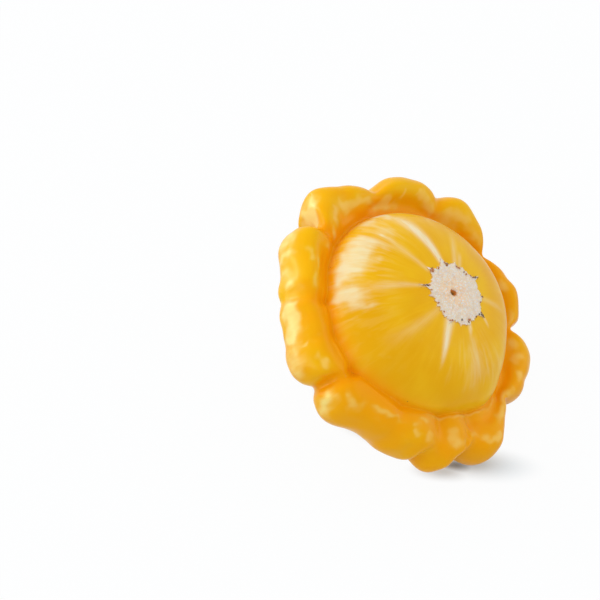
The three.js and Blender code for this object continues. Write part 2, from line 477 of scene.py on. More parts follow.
@dataclass(frozen=True)
class SkinFinish:
    """Waxy yellow skin with corky marks at the blossom end.

    Colours are linear. The skin carries these marks, each from 0 to 1: dome, hollow, pale, patch,
    wash, ray, cork, rim, pit, warm and neck. Hollow is painted shade in deeper orange, pale is
    painted soft reflection in tan, patch is painted highlight and reflection, and wash is partly a
    painted highlight. Its mark around is a vector that runs (cosine, sine, distance along the
    section), so streaks follow the section. Patterns are named for what they draw, and their numbers
    are lumps per metre, or per part of around. Depths are in metres, and painted_light_side is how
    much lighter the collar is painted with each part of around, as painted light.
    """

    collar: Colour = (0.88, 0.37, 0.002)
    # The lighter collar colour, laid on by random clouds and by painted light towards one side.
    collar_light: Colour = (0.87, 0.465, 0.004)
    dome: Colour = (0.82, 0.40, 0.003)
    dome_light: Colour = (0.88, 0.50, 0.010)
    # Painted shade: the deeper orange of the crease, the grooves, the dish and the dips.
    hollow: Colour = (0.93, 0.345, 0.001)
    # Painted highlights: cream on the dome and butter on the collar.
    highlight_cream: Colour = (0.86, 0.76, 0.48)
    highlight_butter: Colour = (0.95, 0.77, 0.27)
    ray: Colour = (0.90, 0.77, 0.52)
    # Tan of random blotches and of painted soft reflections on the crest.
    tan: Colour = (0.91, 0.60, 0.14)
    freckle: Colour = (0.30, 0.12, 0.02)
    neck: Colour = (0.62, 0.50, 0.06)
    cork: Colour = (0.85, 0.71, 0.55)
    cork_warm: Colour = (0.92, 0.66, 0.43)
    cork_cool: Colour = (0.84, 0.81, 0.78)
    cork_dark: Colour = (0.66, 0.47, 0.31)
    pit: Colour = (0.55, 0.17, 0.03)
    pit_core: Colour = (0.16, 0.08, 0.015)
    rim: Colour = (0.60, 0.27, 0.05)
    gloss_tint: Colour = (0.5, 0.9, 0.42)
    sheen_tint: Colour = (0.7, 0.9, 0.7)
    # Painted light: how much lighter the collar is painted towards each side.
    painted_light_side: Triple = (0.04, 0.20, 0.0)
    streaks: Triple = (16.0, 16.0, 0.12)
    fine_streaks: Triple = (60.0, 60.0, 0.3)
    clouds: float = 55.0
    blotches: float = 260.0
    freckles: float = 420.0
    freckle_groups: float = 90.0
    pores: float = 900.0
    grain: float = 1500.0
    cork_warmth: float = 900.0
    cork_grain: float = 1900.0
    cork_stains: float = 420.0
    cork_specks: float = 1300.0
    pore_depth: float = 0.00002
    streak_depth: float = 0.00006
    grain_depth: float = 0.0005
    collar_roughness: float = 0.28
    dome_roughness: float = 0.34
    cork_roughness: float = 0.85
    gloss: float = 0.13
    # The weight of the wax coat.
    wax_and_highlight: float = 0.06
    wax_roughness: float = 0.18
    sheen: float = 0.5
    sheen_roughness: float = 0.13
    translucence: float = 0.15
    translucence_reach: Triple = (1.0, 0.6, 0.2)
    translucence_depth: float = 0.0012

    def material(self) -> bpy.types.Material:
        """Builds the skin's material.

        Returns:
            The material.
        """
        material, graph = new_material("squash_skin")
        place = graph.place()
        around = graph.mark("around", vector=True)
        dome = graph.mark("dome")
        cork = graph.mark("cork")
        streaks = graph.noise(graph.stretched(around, self.streaks), 1.0, 3.0, 0.4)
        fine_streaks = graph.noise(graph.stretched(around, self.fine_streaks), 1.0, 2.0, 0.3)

        colour = self._bare_colour(graph, place, around, streaks)
        # Pale tan: random blotches, and painted soft reflections where the pale mark is.
        blotches = graph.plus(graph.mark("pale"), graph.noise(place, self.blotches))
        colour = graph.blend(graph.ramp(blotches, 0.6, 1.4, 0.0, 0.6), colour, self.tan)
        # Painted highlights where the patch mark is: cream on the dome, butter on the collar.
        highlight_share = graph.plus(graph.mark("patch"), graph.times(streaks, 0.8))
        wax_and_highlight = graph.blend(dome, self.highlight_butter, self.highlight_cream)
        colour = graph.blend(graph.ramp(highlight_share, 0.52, 1.75, 0.0, 0.9), colour, wax_and_highlight)
        colour = graph.blend(graph.times(graph.mark("neck"), 0.7), colour, self.neck)
        colour = graph.blend(self._ray_share(graph, streaks, fine_streaks), colour, self.ray)
        colour = graph.blend(self._freckles(graph, place), colour, self.freckle)
        colour = graph.blend(cork, colour, self._cork_colour(graph, place))

        roughness = graph.between(dome, self.collar_roughness, self.dome_roughness)
        roughness = graph.between(cork, roughness, self.cork_roughness)
        normal = graph.bump(graph.noise(place, self.pores), self.pore_depth, 0.5)
        washed = graph.times(fine_streaks, graph.mark("wash"))
        normal = graph.bump(washed, self.streak_depth, 0.6, normal)
        grain = graph.times(graph.noise(place, self.grain, 3.0), cork)
        normal = graph.bump(grain, self.grain_depth, 0.8, normal)
        shader = graph.add("BsdfPrincipled", {
            "Base Color": colour,
            "Roughness": roughness,
            "IOR": 1.4,
            "Specular IOR Level": self.gloss,
            "Specular Tint": self.gloss_tint,
            "Coat Weight": self.wax_and_highlight,
            "Coat Roughness": self.wax_roughness,
            "Coat IOR": 1.3,
            "Subsurface Weight": self.translucence,
            "Subsurface Radius": self.translucence_reach,
            "Subsurface Scale": self.translucence_depth,
            "Sheen Weight": graph.times(dome, self.sheen),
            "Sheen Roughness": self.sheen_roughness,
            "Sheen Tint": self.sheen_tint,
            "Normal": normal,
        })
        graph.finish("OutputMaterial", shader)
        return material

    def _bare_colour(self, graph: Graph, place: Input, around: Input, streaks: Input) -> Socket:
        """Clouded yellow, lighter on one side of the collar, and deep orange in the hollows.

        The lighter side is painted light, and the deep orange is painted shade.

        Args:
            graph: The skin's graph.
            place: The point's place, in metres.
            around: The skin's mark around.
            streaks: Noise drawn out along the section.

        Returns:
            The colour.
        """
        clouds = graph.noise(place, self.clouds)
        # Painted light: the collar takes its lighter colour towards one side, as well as in random
        # clouds.
        side = graph.add("VectorMath", {0: around, 1: self.painted_light_side}, operation="DOT_PRODUCT")
        light = graph.ramp(graph.plus(clouds, side.outputs["Value"]), 0.3, 0.8)
        collar = graph.blend(light, self.collar, self.collar_light)
        light = graph.ramp(graph.plus(graph.times(streaks, 0.25), clouds), 0.4, 0.85)
        dome = graph.blend(light, self.dome, self.dome_light)
        colour = graph.blend(graph.mark("dome"), collar, dome)
        # Painted shade: deep orange where the hollow mark is.
        return graph.blend(graph.times(graph.mark("hollow"), 0.9), colour, self.hollow)

    def _ray_share(self, graph: Graph, streaks: Input, fine_streaks: Input) -> Socket:
        """How much of the pale corky colour of the rays and streaks shows.

        Args:
            graph: The skin's graph.
            streaks: Noise drawn out along the section.
            fine_streaks: The same, finer.

        Returns:
            The share, from 0 to 1.
        """
        ray = graph.times(graph.mark("ray"), graph.ramp(fine_streaks, 0.25, 0.6, 0.55, 1.0))
        # The pale streaks of the washed side are partly a painted highlight.
        wash = graph.times(graph.mark("wash"), graph.ramp(streaks, 0.42, 0.68))
        return graph.math("ADD", ray, graph.times(wash, 0.15), clamp=True)

    def _freckles(self, graph: Graph, place: Input) -> Socket:
        """A sprinkle of tiny brown dots: the middles of some cells of a cell pattern.

        Args:
            graph: The skin's graph.
            place: The point's place, in metres.

        Returns:
            The share of their colour, from 0 to 1.
        """
        cells = graph.add("TexVoronoi", {"Vector": place, "Scale": self.freckles})
        dots = graph.ramp(cells.outputs["Distance"], 0.06, 0.13, 1.0, 0.0)
        chosen = graph.ramp(graph.noise(place, self.freckle_groups, 1.0), 0.66, 0.70)
        # Freckles are left out under the painted highlights.
        off_highlight = graph.ramp(graph.mark("patch"), 0.0, 0.3, 0.7, 0.0)
        return graph.times(graph.times(dots, chosen), off_highlight)

    def _cork_colour(self, graph: Graph, place: Input) -> Socket:
        """Pale cork, warmer towards the pit and greyer in its grain, with a brown rim and pit.

        Args:
            graph: The skin's graph.
            place: The point's place, in metres.

        Returns:
            The colour.
        """
        warm = graph.plus(graph.mark("warm"), graph.noise(place, self.cork_warmth, 3.0))
        colour = graph.blend(graph.ramp(warm, 0.5, 1.2), self.cork, self.cork_warm)
        cool = graph.ramp(graph.noise(place, self.cork_grain), 0.5, 0.62)
        colour = graph.blend(cool, colour, self.cork_cool)
        stains = graph.ramp(graph.noise(place, self.cork_stains, 3.0), 0.48, 0.72, 0.0, 0.45)
        colour = graph.blend(stains, colour, self.cork_dark)
        specks = graph.noise(place, self.cork_specks, 3.0)
        rim = graph.plus(graph.times(graph.mark("rim"), 0.5), specks)
        colour = graph.blend(graph.ramp(rim, 0.78, 0.95, 0.0, 0.9), colour, self.rim)
        pit = graph.plus(graph.mark("pit"), graph.times(specks, 0.8))
        colour = graph.blend(graph.ramp(pit, 0.75, 1.05), colour, self.pit)
        return graph.blend(graph.ramp(pit, 1.2, 1.4, 0.0, 0.8), colour, self.pit_core)


@dataclass(frozen=True)
class StemFinish:
    """Ribbed green stem with a pale foot and a dry cut end.

    Its marks are foot, cut and rib, each from 0 to 1, and around, as on the skin. Depths are in
    metres.
    """

    green: Colour = (0.115, 0.165, 0.022)
    dark: Colour = (0.050, 0.075, 0.014)
    pale: Colour = (0.36, 0.44, 0.16)
    tan: Colour = (0.62, 0.42, 0.13)
    pith: Colour = (0.50, 0.47, 0.25)
    fibres: Triple = (9.0, 9.0, 0.12)
    flecks: float = 1500.0
    pith_rings: float = 1100.0
    fibre_depth: float = 0.0004
    fleck_depth: float = 0.0001
    roughness: float = 0.55
    translucence: float = 0.08
    translucence_depth: float = 0.001

    def material(self) -> bpy.types.Material:
        """Builds the stem's material.

        Returns:
            The material.
        """
        material, graph = new_material("stem_green")
        place = graph.place()
        around = graph.mark("around", vector=True)
        fibres = graph.noise(graph.stretched(around, self.fibres), 1.0, 3.0)
        flecks = graph.noise(place, self.flecks)
        colour = graph.blend(graph.ramp(fibres, 0.35, 0.65), self.dark, self.green)
        colour = graph.blend(graph.ramp(flecks, 0.60, 0.68, 0.0, 0.7), colour, self.pale)
        colour = graph.blend(graph.times(graph.mark("rib"), 0.25), colour, self.pale)
        foot = graph.ramp(graph.plus(graph.mark("foot"), fibres), 0.75, 1.25)
        colour = graph.blend(foot, colour, self.pale)
        colour = graph.blend(graph.ramp(graph.mark("foot"), 0.75, 1.0), colour, self.tan)
        rings = graph.noise(place, self.pith_rings, 3.0)
        pith = graph.blend(graph.ramp(rings, 0.4, 0.6), self.pith, self.tan)
        colour = graph.blend(graph.mark("cut"), colour, pith)
        normal = graph.bump(fibres, self.fibre_depth, 0.7)
        normal = graph.bump(flecks, self.fleck_depth, 0.6, normal)
        shader = graph.add("BsdfPrincipled", {
            "Base Color": colour,
            "Roughness": self.roughness,
            "IOR": 1.4,
            "Subsurface Weight": self.translucence,
            "Subsurface Scale": self.translucence_depth,
            "Normal": normal,
        })
        graph.finish("OutputMaterial", shader)
        return material


@dataclass(frozen=True)
class FleckFinish:
    """Dried blossom: brown to grey-black crumbs with ashen grain. Their mark is tone."""

    brown: Colour = (0.50, 0.17, 0.045)
    dark: Colour = (0.14, 0.085, 0.05)
    ash: Colour = (0.62, 0.45, 0.30)
    grain: float = 2600.0
    grain_depth: float = 0.0002
    roughness: float = 0.8

    def material(self) -> bpy.types.Material:
        """Builds the flecks' material.

        Returns:
            The material.
        """
        material, graph = new_material("dried_blossom")
        grain = graph.noise(graph.place(), self.grain, 3.0)
        colour = graph.blend(graph.mark("tone"), self.brown, self.dark)
        colour = graph.blend(graph.ramp(grain, 0.52, 0.7, 0.0, 0.8), colour, self.ash)
        shader = graph.add("BsdfPrincipled", {
            "Base Color": colour,
            "Roughness": self.roughness,
            "Normal": graph.bump(grain, self.grain_depth, 0.8),
        })
        graph.finish("OutputMaterial", shader)
        return material


@dataclass(frozen=True)
class Shade:
    """An oval on the floor that keeps the shadow.

    Attributes:
        middle: Its middle, in metres.
        half_size: Its half sizes, in metres. The third only has to be long.
        inner: The share of the half sizes where it starts to fade.
        light: What is left of the floor's light inside it.
    """

    middle: Triple
    half_size: Triple
    inner: float
    light: float

    def fade(self, graph: Graph, inside: float, outside: float) -> Socket:
        """A value that runs from one inside the shade to another at its edge.

        Args:
            graph: The floor's graph.
            inside: The value inside its inner share.
            outside: The value past its edge.

        Returns:
            The value.
        """
        offset = graph.add("VectorMath", {0: graph.place(), 1: self.middle}, operation="SUBTRACT")
        inputs = {0: offset.outputs["Vector"], 1: self.half_size}
        share = graph.add("VectorMath", inputs, operation="DIVIDE")
        away = graph.add("VectorMath", {0: share.outputs["Vector"]}, operation="LENGTH")
        return graph.ramp(away.outputs["Value"], self.inner, 1.0, inside, outside)


@dataclass(frozen=True)
class FloorFinish:
    """Matt table that is white to the eye and keeps the squash's shadow.

    Most of its white is its own light, but for the shades, where little of it is. A painted
    contact shadow also darkens its matt colour to the eye.
    """

    colour: Colour = (0.66, 0.76, 0.84)
    black: Colour = (0.0, 0.0, 0.0)
    white: Colour = (1.0, 1.0, 1.0)
    shades: tuple[Shade, ...] = (
        Shade((0.0, 0.004, 0.0), (0.030, 0.030, 1.0), 0.66, 0.1),
        Shade((0.027, -0.028, 0.0), (0.021, 0.0085, 1.0), 0.0, 0.24),
        Shade((0.015, -0.0325, 0.0), (0.012, 0.005, 1.0), 0.0, 0.3),
        Shade((0.019, -0.0295, 0.0), (0.013, 0.005, 1.0), 0.0, 0.05),
    )
    # A painted shadow where the squash meets the table.
    painted_contact_shadow: Shade = Shade((0.019, -0.0285, 0.0), (0.013, 0.0055, 1.0), 0.0, 0.5)
    own_light: float = 0.96

    def material(self) -> bpy.types.Material:
        """Builds the floor's material: matt white, with a share of plain white to the eye.

        Returns:
            The material.
        """
        material, graph = new_material("white_table")
        direct = seen_directly(graph)
        # Painted shadow: near the contact, the matt colour is darker to the eye.
        painted_shadow = graph.times(direct, self.painted_contact_shadow.fade(graph, 1.0 - self.painted_contact_shadow.light, 0.0))
        matt = graph.add("BsdfDiffuse", {"Color": graph.blend(painted_shadow, self.colour, self.black)})
        white = graph.add("Emission", {"Color": self.white, "Strength": 1.0})
        own_light: Input = self.own_light
        for shade in self.shades:
            kept = shade.fade(graph, shade.light, self.own_light)
            own_light = graph.math("MINIMUM", own_light, kept)
        seen = graph.times(direct, own_light)
        shader = graph.add("MixShader", {0: seen, 1: matt.outputs[0], 2: white.outputs[0]})
        graph.finish("OutputMaterial", shader)
        return material


def seen_directly(graph: Graph) -> Socket:
    """1 for rays from the eye, a mirror or a glass, and 0 for rays that carry diffuse light.

    Args:
        graph: The graph that uses the value.

    Returns:
        The value.
    """
    path = graph.add("LightPath")
    glossy, through = path.outputs["Is Glossy Ray"], path.outputs["Is Transmission Ray"]
    return graph.math("MAXIMUM", path.outputs["Is Camera Ray"], graph.math("MAXIMUM", glossy, through))


# ---- The squash's own frame -----------------------------------------------------------------


@dataclass
class Lie:
    """How the squash lies on the table.

    Attributes:
        low_side: The side of the collar that is lowest.
        lean: The lean of the axis from upright.
        heading: The turn about the vertical.
        shift: Where the squash's own origin is, in millimetres in the frame of the solids.
    """

    low_side: float = 292.2
    lean: float = 37.6
    heading: float = -17.4
    shift: np.ndarray = field(default_factory=lambda: np.zeros(3))

    def rotation(self) -> np.ndarray:
        """The turn from the squash's own frame to the frame of the solids.

        Returns:
            A matrix of three by three.
        """
        turns = (
            Matrix.Rotation(math.radians(self.heading), 3, "Z")
            @ Matrix.Rotation(math.radians(self.lean), 3, "Y")
            @ Matrix.Rotation(math.radians(-self.low_side), 3, "Z")
        )
        return np.array(turns)

    def settle(self, points: np.ndarray, low: Vector, high: Vector) -> None:
        """Finds the shift that puts the turned fruit in its node's box.

        The box's middle gives the two level parts, and its top gives the height, because the
        underside is pressed flat.

        Args:
            points: The fruit's points in its own frame.
            low: The lowest corner of the fruit's node, in metres.
            high: The highest corner of the fruit's node, in metres.
        """
        turned = points.reshape(-1, 3) @ self.rotation().T
        middle = (turned.min(axis=0) + turned.max(axis=0)) / 2.0
        target = np.array((low + high) / 2.0) / MM
        self.shift = target - middle
        self.shift[2] = high.z / MM - turned[:, 2].max()

    def placed(self, points: np.ndarray) -> np.ndarray:
        """Points in the frame of the solids, in metres, pressed flat where they meet the table.

        Args:
            points: Points in the squash's own frame.

        Returns:
            The same points, in the same layout.
        """
        moved = points @ self.rotation().T + self.shift
        moved[..., 2] = np.maximum(moved[..., 2], 0.0)
        return moved * MM


# ---- Fruit ----------------------------------------------------------------------------------


@dataclass(frozen=True)
class Lobe:
    """A lobe of the collar, with the groove where it starts.

    Attributes:
        edge_at: The groove's angle at the collar's edge.
        crest_at: The groove's angle at the collar's crest.
        edge_cut: How far it cuts in at the edge, as a share of the plain groove section.
        crest_cut: The same at the crest.
        tight: How much of the groove is tight (1) and not soft (0).
        reach: The lobe's own reach outward.
        lift: The lobe's own lift towards the blossom end.
    """

    edge_at: float
    crest_at: float
    edge_cut: float
    crest_cut: float
    tight: float
    reach: float
    lift: float


@dataclass(frozen=True)
class Station:
    """A place on the half section, on a lobe's crown and in a groove, as radius and height.

    `reach` is the share of a lobe's reach and lift that it takes, and `crest` says whether it
    follows the grooves of the outer edge (0) or of the crest (1). `side` and `fill` are the
    shares that it takes of the dome's bulges and of the crease's filling.
    """

    crown: Pair
    groove: Pair
    reach: float
    crest: float
    side: float = 0.0
    fill: float = 0.0


@dataclass(frozen=True)
class Point:
    """A point of the scar's ragged edge: its angle, its length and its half width in degrees."""

    at: float
    length: float
    width: float


@dataclass(frozen=True)
class Ray:
    """A pale corky line in the skin, from the scar outward.

    Attributes:
        at: Its angles at the inner and the outer end.
        radius: Its distances from the axis at the inner and the outer end.
        width: Its half widths at the inner and the outer end.
        strength: How pale it is.
    """

    at: Pair
    radius: Pair
    width: Pair
    strength: float

    def share(self, degrees: np.ndarray, radius: np.ndarray) -> np.ndarray:
        """How much of the ray covers each place: a bell across it, eased in and out along it.

        Args:
            degrees: Angles round the axis.
            radius: Distances from the axis.

        Returns:
            The share at each place.
        """
        along = (radius - self.radius[0]) / (self.radius[1] - self.radius[0])
        held = np.clip(along, 0.0, 1.0)
        off = np.radians(turn(mix(*self.at, held), degrees)) * radius
        eased = plateau(along, (-0.12, 0.02), (0.45, 1.1))
        return self.strength * bell(off, mix(*self.width, held)) * eased


@dataclass(frozen=True)
class Swell:
    """A soft patch of the skin that stands a little higher or lower, or is paler or deeper.

    Attributes:
        at: Its angle.
        row: Its place along the section, counted in stations.
        width: Its half width in degrees.
        span: Its half length in stations.
        rise: How far it stands out, in millimetres.
        tone: How pale it is, up to 1, or how deep in colour, down to -1. Pale tones are painted
        soft reflections and highlights, and deep ones painted shade.
    """

    at: float
    row: float
    width: float
    span: float
    rise: float
    tone: float = 0.0

    def share(self, degrees: np.ndarray, row: np.ndarray) -> np.ndarray:
        """How much of the patch covers each place: a bell across it times a bell along it."""
        return bell(turn(self.at, degrees), self.width) * bell(row - self.row, self.span)


@dataclass(frozen=True)
class Bulge(Side):
    """A broad bulge of one side of the fruit: how far out and up it goes."""

    out: float
    up: float

    def shift(self, degrees: np.ndarray) -> np.ndarray:
        """The shift in radius and height at each angle."""
        return self.share(degrees)[:, None] * np.array([self.out, self.up])


@dataclass(frozen=True)
class SkinGrid:
    """Where the points of the smooth skin are, each array row by column.

    Attributes:
        angle: Their angles round the axis.
        row: Their places along the section, counted in stations.
        radius: Their distances from the axis.
        length: Their distances along the section.
        points: The points themselves, in millimetres.
    """

    angle: np.ndarray
    row: np.ndarray
    radius: np.ndarray
    length: np.ndarray
    points: np.ndarray

    @classmethod
    def from_section(cls, degrees: np.ndarray, along: np.ndarray, section: np.ndarray) -> SkinGrid:
        """Works the arrays out from the angles, the places and the section there.

        Args:
            degrees: Angles of the columns.
            along: Places of the rows, counted in stations.
            section: Radius and height, row by column.

        Returns:
            The grid.
        """
        row, angle = np.meshgrid(along, degrees, indexing="ij")
        steps = np.linalg.norm(np.diff(section, axis=0), axis=-1)
        length = np.concatenate([np.zeros((1, len(degrees))), np.cumsum(steps, axis=0)])
        radius, height = section[..., 0], section[..., 1]
        return cls(angle, row, radius, length, on_polar(angle, radius, height))


def flat_station(radius: float, height: float, side: float, fill: float = 0.0) -> Station:
    """A station that is round, but for its shares of the bulges and of the crease's filling."""
    return Station((radius, height), (radius, height), 0.0, 1.0, side, fill)


